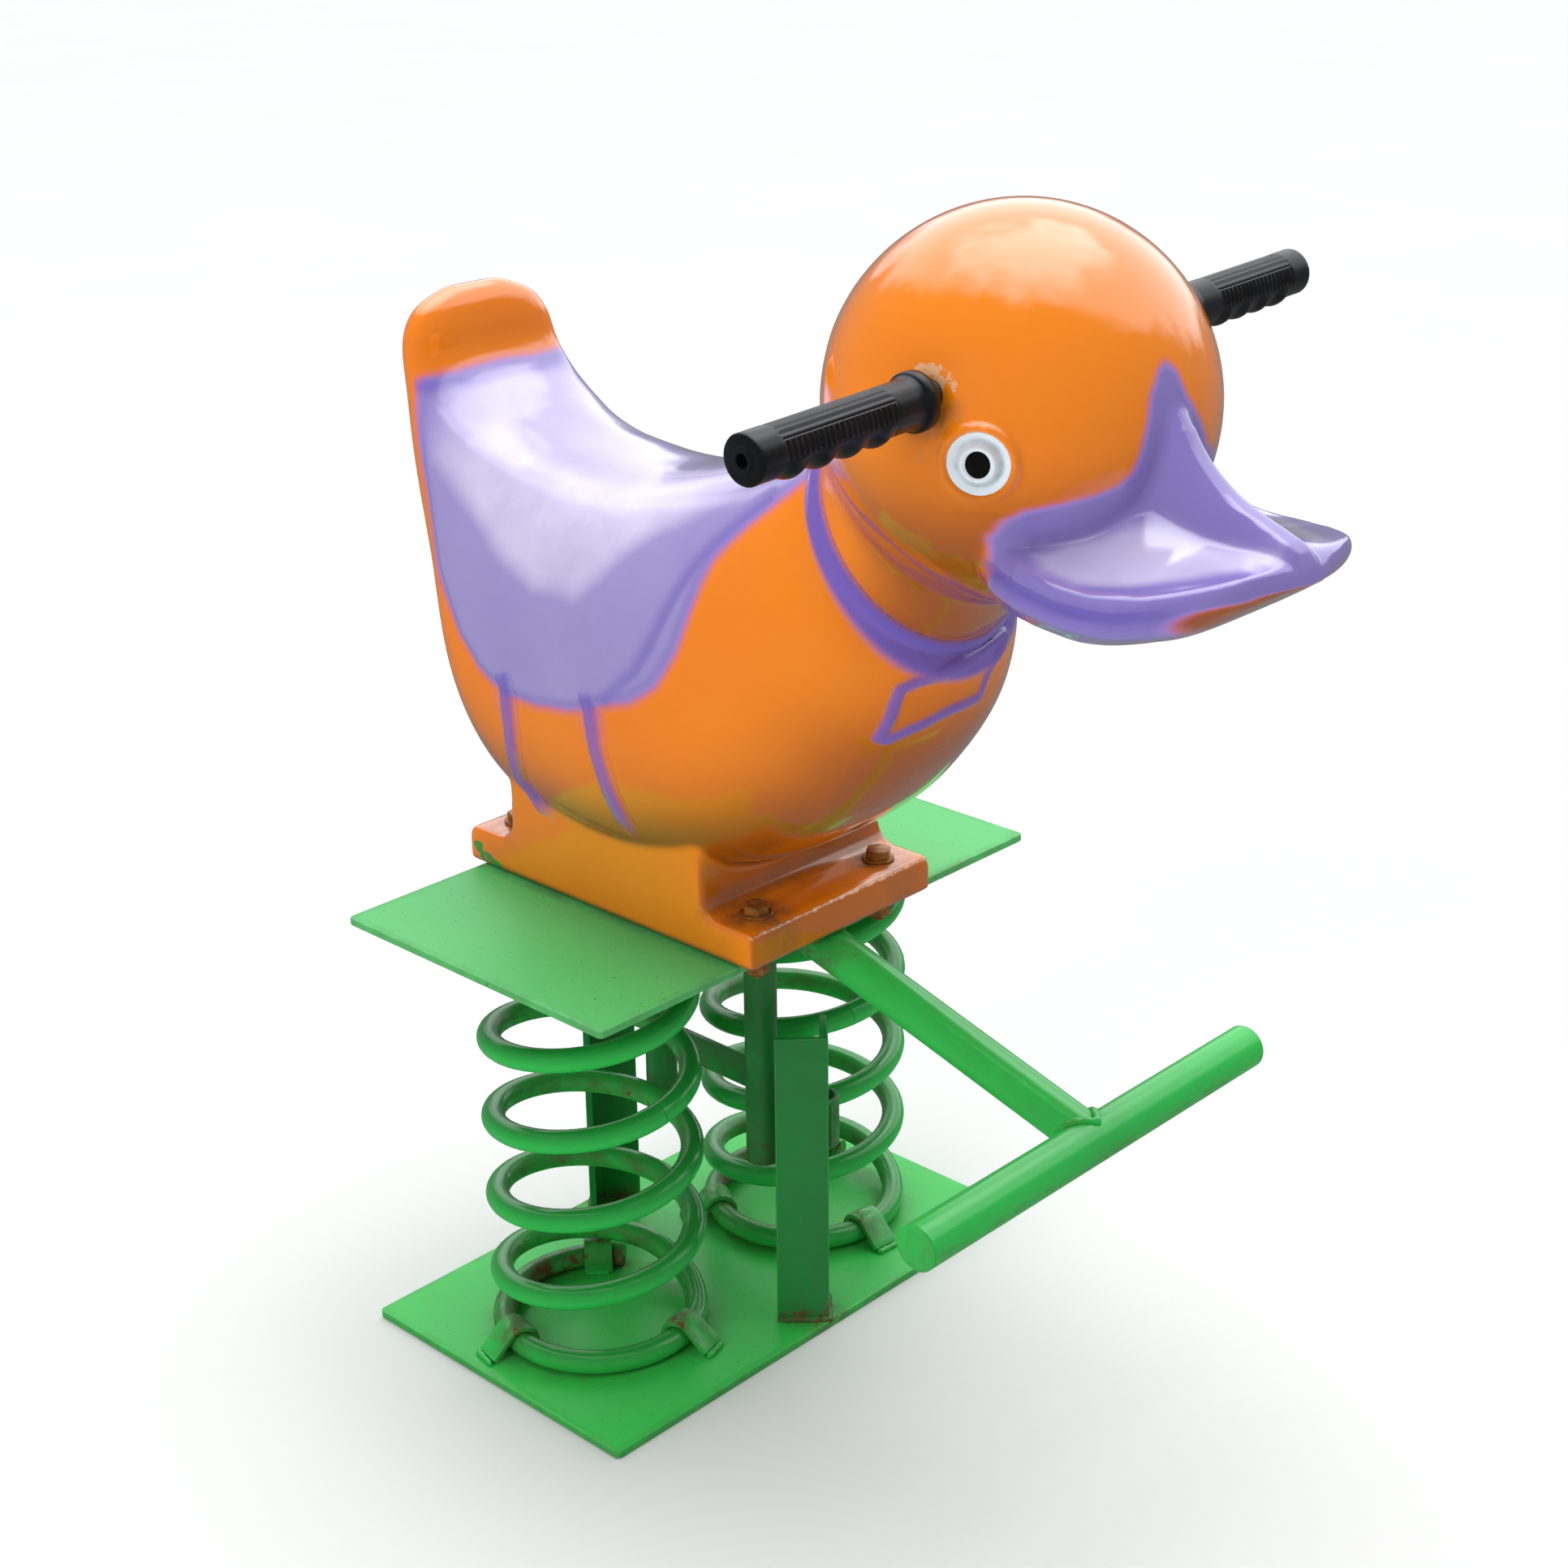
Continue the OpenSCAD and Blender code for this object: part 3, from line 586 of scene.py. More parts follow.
def block(bm: BMesh, low: Point, high: Point, corner: float = 0.0, edge: float = 1.0) -> None:
    """Makes a box with rounded upright corners and broken edges.

    Args:
        bm: Mesh that takes the box.
        low: Lowest corner.
        high: Highest corner.
        corner: Radius of the upright corners.
        edge: Radius of the other edges.
    """
    before = set(bm.verts)
    size = Vector(high) - Vector(low)
    verts = bmesh.ops.create_cube(bm, size=1.0)["verts"]
    bmesh.ops.scale(bm, vec=size, verts=verts)
    bmesh.ops.translate(bm, vec=(Vector(high) + Vector(low)) / 2, verts=verts)
    if corner > 0:
        upright = [e for e in bm.edges if e.verts[0] not in before
                   and abs(e.verts[0].co.z - e.verts[1].co.z) > 0.5 * size.z]
        rounded(bm, upright, corner, 5)
    rounded(bm, sharp_edges(bm, before), edge, worn=True)


def bead(bm: BMesh, path: Sequence[Vector], size: float, closed: bool = False) -> None:
    """Lays a rippled weld bead along a path.

    Args:
        bm: Mesh that takes the bead.
        path: Corners of the bead's line.
        size: Radius of the bead.
        closed: Whether the line returns to its start.
    """
    fine: list[Vector] = []
    legs = list(zip(path, list(path[1:]) + ([path[0]] if closed else [])))
    for a, b in legs:
        steps = max(2, int((b - a).length / 1.5))
        fine += [a.lerp(b, i / steps) for i in range(steps)]
    if not closed:
        fine.append(path[-1])
    count = len(fine)

    def ripple(share: float) -> float:
        """Gives the bead's radius, drawn in at its ends."""
        wave = 0.12 * sin(share * count * 1.35) + 0.1 * sin(share * count * 0.37 + 1.0)
        return size * (1.0 + wave) * (1.0 if closed else min(1.0, 0.35 + 6.0 * min(share, 1.0 - share)))

    sweep(bm, fine, ripple, sides=10, closed=closed)


def grime_layer(bm: BMesh, amount: Callable[[Vector], float], under: float = 0.0) -> None:
    """Writes how dirty each vertex is, and how much painted shade darkens it where it looks down.

    Args:
        bm: Mesh in millimetres.
        amount: Function of a place that gives zero to one.
        under: Strength of the painted shade on faces that look down.
    """
    dirt = bm.verts.layers.float.get("grime") or bm.verts.layers.float.new("grime")
    dark = bm.verts.layers.float.get("painted_shade") or bm.verts.layers.float.new("painted_shade")
    bm.normal_update()
    for vert in bm.verts:
        vert[dirt] = max(0.0, min(1.0, amount(vert.co)))
        # painted shade on faces that look down
        vert[dark] = under * max(0.0, min(1.0, 0.1 - vert.normal.z))


def made_mesh(bm: BMesh, name: str) -> Mesh:
    """Turns a working mesh into a mesh of the file and frees it.

    Args:
        bm: The working mesh.
        name: Name of the new mesh.

    Returns:
        The new mesh.
    """
    mesh = bpy.data.meshes.new(name)
    bm.to_mesh(mesh)
    bm.free()
    return mesh


def linked(name: str, data: Any) -> Object:
    """Makes an object and links it to the scene.

    Args:
        name: Name of the object.
        data: Its mesh, lamp or camera.

    Returns:
        The object.
    """
    item = bpy.data.objects.new(name, data)
    bpy.context.scene.collection.objects.link(item)
    return item


def place_piece(bm: BMesh, name: str, material: Material, body: Body | None,
                nodes: Iterable[str] = (), sharp: float = 38.0) -> Object:
    """Turns a mesh in millimetres into a finished piece of the rider.

    Args:
        bm: The mesh, which is freed.
        name: Name of the piece.
        material: Its material.
        body: Body that it moves with, or none where it bends between two.
        nodes: Nodes that it stands for.
        sharp: Angle in degrees above which an edge stays sharp.

    Returns:
        The piece's object.
    """
    bmesh.ops.remove_doubles(bm, verts=bm.verts, dist=0.002)
    bmesh.ops.recalc_face_normals(bm, faces=bm.faces)
    bmesh.ops.scale(bm, vec=(METRE, METRE, METRE), verts=bm.verts)
    for face in bm.faces:
        face.smooth = True
    mesh = made_mesh(bm, name)
    mesh.set_sharp_from_angle(angle=radians(sharp))
    mesh.materials.append(material)
    piece = linked(name, mesh)
    if body is not None:
        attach(piece, body.value)
    if nodes:
        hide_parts(*nodes)
    LOG.info("%s: %d faces", name, len(mesh.polygons))
    return piece


@dataclass
class PhotoCamera:
    """Camera at the photo's viewing angle."""

    place: Point = (-1255.9, -1283.7, 1147.0)
    azimuth: float = -46.50
    elevation: float = 22.18
    roll: float = -0.63
    focal: float = 3205.9
    picture: float = 1932.0
    sensor: float = 36.0

    def build(self) -> None:
        """Makes the camera and sets it as the scene's."""
        az, el, roll = (radians(a) for a in (self.azimuth, self.elevation, self.roll))
        back = Vector((sin(az) * cos(el), -cos(az) * cos(el), sin(el)))
        right = Vector((cos(az), sin(az), 0.0))
        up = back.cross(right)
        turned = cos(roll) * right + sin(roll) * up
        upright = cos(roll) * up - sin(roll) * right
        data = bpy.data.cameras.new("photo_camera")
        data.sensor_width = self.sensor
        data.lens = self.sensor * self.focal / self.picture
        data.clip_start = 0.05
        data.clip_end = 200.0
        camera = linked("photo_camera", data)
        turn = Matrix((turned, upright, back)).transposed().to_4x4()
        camera.matrix_world = Matrix.Translation(Vector(self.place) * METRE) @ turn
        bpy.context.scene.camera = camera


@dataclass
class Studio:
    """Pale floor under a soft cloudy sky, with one broad lamp from the duck's right."""

    floor_half: float = 30.0
    floor_drop: float = 0.0006
    sky: str = "#FBFCFF"
    haze: float = 0.26
    ground: float = 0.22
    horizon: tuple[float, float] = (-0.08, 0.2)
    backdrop: float = 0.9
    cloud: float = 3.2
    ragged: float = 0.42
    glows: tuple = (((0.52, 0.2, 0.83), 47.0, 57.0, 1.5), ((0.29, 0.13, 0.95), 5.0, 36.0, 2.5))
    lamp_aim: Point = (-0.9, -0.08, 0.4)
    lamp_far: float = 4.0
    lamp_size: float = 2.6
    lamp_power: float = 70.0
    middle: Point = (0.0, -0.1, 0.5)

    def build(self) -> None:
        """Makes the floor, the sky and the lamp."""
        bm = bmesh.new()
        bmesh.ops.create_grid(bm, x_segments=4, y_segments=4, size=self.floor_half)
        bmesh.ops.translate(bm, vec=(0, 0, -self.floor_drop), verts=bm.verts)
        mesh = made_mesh(bm, "studio_floor")
        mesh.materials.append(PaleFloor().material())
        floor = linked("studio_floor", mesh)
        floor.visible_glossy = False
        self.soft_sky()
        self.soft_lamp()
        bpy.context.scene.view_settings.view_transform = "Standard"

    def soft_sky(self) -> None:
        """Makes a hazy sky over dark ground, with ragged bright clouds, each a direction, inner and outer
        angle and strength. The camera sees a plain pale sky instead."""
        world = bpy.data.worlds.new("studio_sky")
        bpy.context.scene.world = world
        world.use_nodes = True
        tree = world.node_tree
        tree.nodes.clear()
        way = add(tree, "TexCoord").outputs["Generated"]
        cloud = add(tree, "TexNoise", {"Vector": way, "Scale": self.cloud, "Detail": 5.0,
                                       "Roughness": 0.62})
        tear = self.ragged
        torn = add(tree, "Math", {0: cloud, 1: tear, 2: -0.5 * tear}, operation="MULTIPLY_ADD")
        height = add(tree, "SeparateXYZ", {"Vector": way}).outputs["Z"]
        low, high = self.horizon
        light = add(tree, "MapRange", {"Value": height, 1: low, 2: high, 3: self.ground, 4: self.haze},
                    interpolation_type="SMOOTHSTEP")
        for aim, inner, outer, strength in self.glows:
            near = add(tree, "VectorMath", {0: way, 1: Vector(aim).normalized()}, operation="DOT_PRODUCT")
            level = add(tree, "Math", {0: near, 1: torn}, operation="ADD")
            rim, core = (cos(radians(angle)) for angle in (outer, inner))
            glow = add(tree, "MapRange", {"Value": level, 1: rim, 2: core, 3: 0.0, 4: strength},
                       interpolation_type="SMOOTHSTEP")
            light = add(tree, "Math", {0: light, 1: glow}, operation="ADD")
        seen = add(tree, "LightPath").outputs["Is Camera Ray"]
        shown = add(tree, "Mix", {0: seen, 2: light, 3: self.backdrop}, data_type="FLOAT")
        back = add(tree, "Background", {"Color": self.sky, "Strength": shown})
        add(tree, "OutputWorld", {"Surface": back})

    def soft_lamp(self) -> None:
        """Hangs the broad lamp, which the gloss doesn't mirror."""
        light = bpy.data.lights.new("soft_lamp", "AREA")
        light.shape = "DISK"
        light.size = self.lamp_size
        light.energy = self.lamp_power
        lamp = linked("soft_lamp", light)
        aim = Vector(self.lamp_aim).normalized()
        lamp.location = aim * self.lamp_far + Vector(self.middle)
        lamp.rotation_euler = aim.to_track_quat("Z", "Y").to_euler()
        lamp.visible_glossy = False


@dataclass
class SteelPlates:
    """Lower and upper plate."""

    lower_finish: Material
    upper_finish: Material
    length: float = 450.0
    width: float = 270.0
    thickness: float = 6.0
    corner: float = 4.0
    gap: float = 331.0
    spring_offset: float = 115.0
    coil_radius: float = 74.0
    post_foot: float = 124.0
    flange_end: float = 96.0
    edge: float = 0.8
    grid: float = 7.5
    rim_dirt: float = 7.0

    def build(self) -> None:
        """Makes both plates."""
        self.plate("base_plate_steel", 0.0, Body.BASE, "base_plate", self.lower_grime, self.lower_finish)
        self.plate("top_plate_steel", self.thickness + self.gap, Body.ROCKER, "top_plate", self.upper_grime,
                   self.upper_finish)

    def rim_grime(self, spot: Vector) -> float:
        """Gathers dirt along a plate's rim."""
        rim = min(self.length / 2 - abs(spot.x), self.width / 2 - abs(spot.y))
        return max(0.0, 1.0 - rim / self.rim_dirt)

    def lower_grime(self, spot: Vector) -> float:
        """Gathers dirt under the springs, at the posts and along the rim.

        Args:
            spot: Place on the plate.

        Returns:
            Dirt of zero to one or more.
        """
        away = min(hypot(spot.x - s * self.spring_offset, spot.y) for s in (-1, 1))
        near = max(0.0, 1.0 - abs(away - self.coil_radius) / 26.0)
        foot = max(0.0, 1.0 - hypot(spot.x, abs(spot.y) - self.post_foot) / 34.0)
        return 0.4 * near + 0.25 * self.rim_grime(spot) + 0.9 * foot

    def upper_grime(self, spot: Vector) -> float:
        """Gathers dirt where the pedestal's flanges end and along the rim."""
        shelf = max(0.0, 1.0 - abs(abs(spot.x) - self.flange_end) / 8.0)
        return 0.6 * shelf + 0.3 * self.rim_grime(spot)

    def plate(self, name: str, low: float, body: Body, node: str,
              grime: Callable[[Vector], float], finish: Material) -> None:
        """Makes one plate with broken edges and a fine enough top for its dirt.

        Args:
            name: Name of the piece.
            low: Height of its underside.
            body: Body that it moves with.
            node: Node that it stands for.
            grime: Dirt by place.
            finish: Its paint.
        """
        bm = bmesh.new()
        x, y = self.length / 2, self.width / 2
        block(bm, (-x, -y, low), (x, y, low + self.thickness), self.corner, self.edge)
        for axis, half in ((Vector((1, 0, 0)), x), (Vector((0, 1, 0)), y)):
            for i in range(1, int(2 * half / self.grid)):
                cut_across(bm, axis * (i * self.grid - half), axis, dist=0.001)
        grime_layer(bm, grime)
        place_piece(bm, name, finish, body, [node])


@dataclass
class StopPosts:
    """Angle-iron posts, the sleeve on the front one and their welds."""

    finish: Material
    leg: float = 40.0
    thickness: float = 5.0
    height: float = 244.0
    corner: float = 134.0
    foot: float = 6.0
    sleeve_outer: float = 13.0
    sleeve_wall: float = 4.0
    sleeve_length: float = 42.0
    sleeve_low: float = 133.0
    sleeve_centre: tuple[float, float] = (35.0, -95.46)
    edge: float = 0.8
    fillet: float = 4.5
    outer_weld: float = 3.0
    inner_weld: float = 2.4
    sleeve_weld: float = 2.2
    dirt_rings: tuple[float, ...] = (6.0, 12.0, 20.0, 32.0, 60.0, 120.0, 180.0)

    def build(self) -> None:
        """Makes both posts with their welds, and the sleeve."""
        front = Matrix.Translation((0, -self.corner, self.foot)) @ Matrix.Rotation(radians(45), 4, "Z")
        rear = Matrix.Rotation(pi, 4, "Z") @ front
        for name, place, node in (("front_post_angle", front, "front_post"),
                                  ("rear_post_angle", rear, "rear_post")):
            bm = bmesh.new()
            self.angle(bm)
            for inset, weld in ((0.0, self.outer_weld), (self.thickness, self.inner_weld)):
                corners = ((self.leg, inset, 1), (inset, inset, 1), (inset, self.leg, 1))
                bead(bm, [Vector(p) for p in corners], weld)
            bmesh.ops.transform(bm, matrix=place, verts=bm.verts)
            grime_layer(bm, lambda p: 0.12 + max(0.0, 1.0 - (p.z - self.foot) / 20.0))
            place_piece(bm, name, self.finish, Body.BASE, [node])
        self.sleeve()

    def angle(self, bm: BMesh) -> None:
        """Extrudes the angle section with a rolled fillet and broken edges.

        Args:
            bm: Mesh that takes the post, its corner at the origin.
        """
        leg, thick = self.leg, self.thickness
        corners = [(0, 0), (leg, 0), (leg, thick), (thick, thick), (thick, leg), (0, leg)]
        face = bm.faces.new([bm.verts.new((x, y, 0.0)) for x, y in corners])
        grown = bmesh.ops.extrude_face_region(bm, geom=[face])["geom"]
        bmesh.ops.translate(bm, vec=(0, 0, self.height), verts=only(grown, BMVert))
        root = [e for e in bm.edges
                if all(abs(v.co.x - thick) + abs(v.co.y - thick) < 0.01 for v in e.verts)]
        rounded(bm, root, self.fillet, 5)
        rounded(bm, sharp_edges(bm, set()), self.edge, worn=True)
        for height in self.dirt_rings:
            cut_across(bm, (0, 0, height), (0, 0, 1), dist=0.001)

    def sleeve(self) -> None:
        """Makes the open sleeve with its two upright weld beads."""
        bm = bmesh.new()
        outer, inner = self.sleeve_outer, self.sleeve_outer - self.sleeve_wall
        high, edge = self.sleeve_length, self.edge
        ring = [(inner, edge), (inner + edge, 0), (outer - edge, 0), (outer, edge), (outer, high - edge),
                (outer - edge, high), (inner + edge, high), (inner, high - edge), (inner, edge)]
        spun(bm, ring, Matrix.Translation((*self.sleeve_centre, self.sleeve_low)))
        centre = Vector((*self.sleeve_centre, 0.0))
        along = Vector((sqrt(0.5), sqrt(0.5), 0.0))
        across = Vector((-along.y, along.x, 0.0))
        for side in (-1, 1):
            spot = centre - along * (outer - 2.0) + across * (side * 5.5)
            ends = [spot + Vector((0, 0, self.sleeve_low + h)) for h in (2.0, high - 2.0)]
            bead(bm, ends, self.sleeve_weld)
        grime_layer(bm, lambda p: 0.6)
        place_piece(bm, "sleeve_tube", self.finish, Body.BASE, ["post_sleeve"])


@dataclass
class CoilSpring:
    """One coil spring with flat end turns, and the clips that hold both ends."""

    finish: Material
    side: Side
    phase: float
    first_clip: float
    wire: float = 9.0
    radius: float = 74.0
    offset: float = 115.0
    pitch: float = 66.0
    closed_gap: float = 4.5
    end_step: float = 4.6
    ease_turns: float = 0.25
    low: float = 15.0
    rise: float = 313.0
    base_top: float = 6.0
    deck_under: float = 337.0
    clip_width: float = 22.0
    clip_thickness: float = 4.5
    clip_play: float = 0.9
    clip_edge: float = 0.9
    clip_count: int = 3
    upper_clip: float = 12.0
    bounce: float = 15.0
    cuts: tuple[float, float, float, float] = (40.0, 118.0, 212.0, 300.0)
    slit: float = 0.0008
    rings_per_turn: int = 64

    @property
    def working(self) -> float:
        """Working turns between the flat ends."""
        return (self.rise - 2 * self.end_step) / self.pitch

    @property
    def flat(self) -> float:
        """Turns of each flat end."""
        return 1 - (2 * self.wire + self.closed_gap - self.end_step) / self.pitch

    def climb(self, turn: float) -> float:
        """Gives the rise of the wire after some working turns.

        Args:
            turn: Working turns from the lower flat end.

        Returns:
            Rise in millimetres.
        """
        def lift(t: float) -> float:
            """Eases the straight rise into the flat turn."""
            q = max(0.0, min(1.0, t / self.ease_turns))
            return (self.end_step + self.pitch * t) * q * q * (3 - 2 * q)

        return lift(turn) if turn < self.working / 2 else self.rise - lift(self.working - turn)

    def spot(self, turn: float) -> Vector:
        """Gives the wire's axis after some turns from the lower end.

        Args:
            turn: Turns from the wire's lower tip.

        Returns:
            Place of the axis.
        """
        work = turn - self.flat
        angle = radians(self.phase + 360 * work)
        return Vector((self.side.value * self.offset + self.radius * cos(angle),
                       self.radius * sin(angle), self.low + self.climb(work)))

    def build(self) -> None:
        """Makes the wire in lengths that follow the motion, and the clips."""
        self.coil()
        first = self.phase - self.first_clip
        self.clips("lower", first, self.first_clip, -1, Body.BASE)
        last = self.phase + 360 * self.working + self.upper_clip
        self.clips("upper", last, self.upper_clip, 1, Body.ROCKER)

    def coil(self) -> None:
        """Cuts the wire into lengths: fixed, fixed to the base with a mesh of its own, bent by the nod, bent
        by the sway and fixed to the upper plate."""
        total = self.working + 2 * self.flat
        node = f"{self.side.label}_spring"
        fine = self.rings_per_turn
        turns = [i / fine for i in range(int(total * fine) + 1)] + [total]
        lower, waist, chest, upper = self.cuts
        marks = [0.0] + [next(t for t in turns if self.spot(t).z >= h) for h in self.cuts] + [total]
        names = ("lower_turn", "squeezed_coil", "nodding_coil", "swaying_coil", "upper_turn")
        bodies = (Body.BASE, Body.BASE, None, None, Body.ROCKER)
        for name, body, start, end in zip(names, bodies, marks, marks[1:]):
            bm = bmesh.new()
            steps = [start] + [t for t in turns if start < t < end - 0.001] + [end - self.slit]
            self.wire_length(bm, steps)
            # painted shade darkens the wire's undersides
            grime_layer(bm, self.dirt, under=0.5)
            piece = place_piece(bm, f"{self.side.label}_{name}", self.finish, body, [node])
            if name == "squeezed_coil":
                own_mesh(piece)
            if name == "nodding_coil":
                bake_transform(piece, Body.BOUNCE.value, Body.NOD.value, start=(0, 0, (waist + 9) * METRE),
                         end=(0, 0, (chest - 9) * METRE))
            if name == "swaying_coil":
                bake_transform(piece, Body.NOD.value, Body.ROCKER.value, start=(0, 0, (chest + 9) * METRE),
                         end=(0, 0, (upper - 9) * METRE))

    def wire_length(self, bm: BMesh, turns: Sequence[float], sides: int = 20) -> None:
        """Lofts one length of wire with its section kept upright.

        Args:
            bm: Mesh that takes the wire.
            turns: Turns at which a ring is set.
            sides: Corners of the wire's section.
        """
        centre = Vector((self.side.value * self.offset, 0, 0))
        rings = []
        for turn in turns:
            place = self.spot(turn)
            along = (self.spot(turn + 0.004) - self.spot(turn - 0.004)).normalized()
            out = Vector((place.x - centre.x, place.y, 0)).normalized()
            over = out.cross(along).normalized()
            rings.append([place + self.wire * (cos(a) * out + sin(a) * over) for a in circle(sides)])
        loft(bm, rings)

    def dirt(self, spot: Vector) -> float:
        """Gathers dirt low on the spring and on the inside of its coils.

        Args:
            spot: Place on the wire.

        Returns:
            Dirt of zero to one or more.
        """
        inside = self.radius - hypot(spot.x - self.side.value * self.offset, spot.y)
        low = max(0.0, 1.0 - (spot.z - self.base_top) / 34.0)
        rear = min(1.0, max(0.12, 0.5 + spot.y / 50.0))
        return 1.1 * low * rear + max(0.0, inside / self.wire) * 0.55

    def clips(self, end: str, first: float, turn: float, way: int, body: Body) -> None:
        """Makes the clips of one end.

        Args:
            end: Name of the spring's end.
            first: Direction of the first clip in degrees.
            turn: Turn of the first clip from the flat turn's end.
            way: Sign of the turn from clip to clip.
            body: Body that they move with.
        """
        need = 2 * self.wire + self.clip_play + self.clip_thickness + 0.5
        room = 360 * (need - self.end_step) / self.pitch
        half = degrees(asin(self.clip_width / (2 * self.radius)))
        spread = (360 - room - half - turn) / (self.clip_count - 1)
        seat = self.base_top if way < 0 else self.deck_under
        flip = Matrix.Scale(-1.0, 4, (0, 0, 1)) if way > 0 else Matrix.Identity(4)
        bm = bmesh.new()
        for i in range(self.clip_count):
            before = set(bm.verts)
            self.strap(bm)
            turned = Matrix.Rotation(radians(first + way * spread * i), 4, "Z")
            place = Matrix.Translation((self.side.value * self.offset, 0, seat)) @ flip @ turned
            bmesh.ops.transform(bm, matrix=place, verts=added(bm, before))
        grime_layer(bm, lambda p: 0.2 + 0.65 * min(1.0, abs(p.z - seat) / 26.0))
        place_piece(bm, f"{self.side.label}_{end}_straps", self.finish, body,
                    [f"{self.side.label}_{end}_clips"])

    def strap(self, bm: BMesh) -> None:
        """Bends one strap over the wire and welds its feet, standing on z = 0.

        Args:
            bm: Mesh that takes the strap, which lies across +X.
        """
        inner = self.wire + self.clip_play
        slope = inner * sin(radians(45))
        low = self.wire
        line = [Vector((-inner, 0, 0.0)), Vector((-inner, 0, low * 0.5))]
        arc = [radians(180 - 135 * i / 14) for i in range(15)]
        line += [Vector((inner * cos(a), 0, low + inner * sin(a))) for a in arc]
        foot = low + 2 * slope
        line.append(Vector((foot - 4.0, 0, 4.0)))
        line.append(Vector((foot, 0, 0.4)))
        shift = Vector((self.radius, -self.clip_width / 2, 0))
        verts = [bm.verts.new(p + shift) for p in line]
        edges = [bm.edges.new(pair) for pair in zip(verts, verts[1:])]
        before = set(bm.verts) - set(verts)
        for _ in range(2):
            grown = bmesh.ops.extrude_edge_only(bm, edges=edges)["geom"]
            edges = [e for e in only(grown, BMEdge) if all(v in grown for v in e.verts)]
            bmesh.ops.translate(bm, vec=(0, self.clip_width / 2, 0), verts=only(grown, BMVert))
        faces = [f for f in bm.faces if not any(v in before for v in f.verts)]
        bmesh.ops.recalc_face_normals(bm, faces=faces)
        top = max(faces, key=lambda f: f.calc_center_median().z)
        if top.normal.z < 0:
            bmesh.ops.reverse_faces(bm, faces=faces)
        bmesh.ops.solidify(bm, geom=faces, thickness=-self.clip_thickness)
        rounded(bm, sharp_edges(bm, before, 1.0), self.clip_edge, worn=True)
        half = self.clip_width / 2
        outer = self.radius + foot + self.clip_thickness
        bead(bm, [Vector((outer, y, 1.2)) for y in (-half, half)], 2.6)
        rear = self.radius - inner - self.clip_thickness
        bead(bm, [Vector((rear, y, 1.0)) for y in (-half + 2, half - 2)], 2.2)


@dataclass
class HangingFrame:
    """Two tubes that hang from the upper plate and the flat bar that ties them."""

    finish: Material
    outer: float = 12.5
    wall: float = 2.5
    length: float = 215.0
    top: float = 337.0
    front: float = -65.0
    rear: float = 45.0
    tie_high: float = 205.0
    tie_low: float = 180.0
    tie_thickness: float = 5.0
    sunk: float = 0.25
    weld: float = 2.6
    tie_weld: float = 1.8
    sides: int = 40

    def build(self) -> None:
        """Makes both tubes and the bar."""
        low = self.top - self.length
        inner = self.outer - self.wall
        for name, y, node in (("front_hanger_tube", self.front, "front_hanger"),
                              ("rear_hanger_tube", self.rear, "rear_hanger")):
            bm = bmesh.new()
            wall = [(inner, 0.5), (inner + 0.5, 0), (self.outer - 0.5, 0), (self.outer, 0.5)]
            wall += [(self.outer, h) for h in range(20, int(self.length) - 1, 20)]
            wall += [(self.outer, self.length), (inner, self.length), (inner, 0.5)]
            spun(bm, wall, Matrix.Translation((0, y, low)), self.sides)
            collar = [Vector((self.outer * cos(a), y + self.outer * sin(a), self.top - 1.5))
                      for a in circle(self.sides)]
            bead(bm, collar, self.weld, closed=True)
            grime_layer(bm, lambda p: 0.25 + max(0.0, 1.0 - (p.z - low) / 30.0) * 0.6)
            place_piece(bm, name, self.finish, Body.ROCKER, [node])
        bm = bmesh.new()
        half = self.tie_thickness / 2
        start, end = self.front + self.outer - self.sunk, self.rear - self.outer + self.sunk
        block(bm, (-half, start, self.tie_low), (half, end, self.tie_high), 0.0, 0.7)
        for y in (start, end):
            for x in (-half, half):
                bead(bm, [Vector((x, y, z)) for z in (self.tie_low + 1, self.tie_high - 1)], self.tie_weld)
        grime_layer(bm, lambda p: 0.4)
        place_piece(bm, "tie_flat_bar", self.finish, Body.ROCKER, ["tie_bar"])


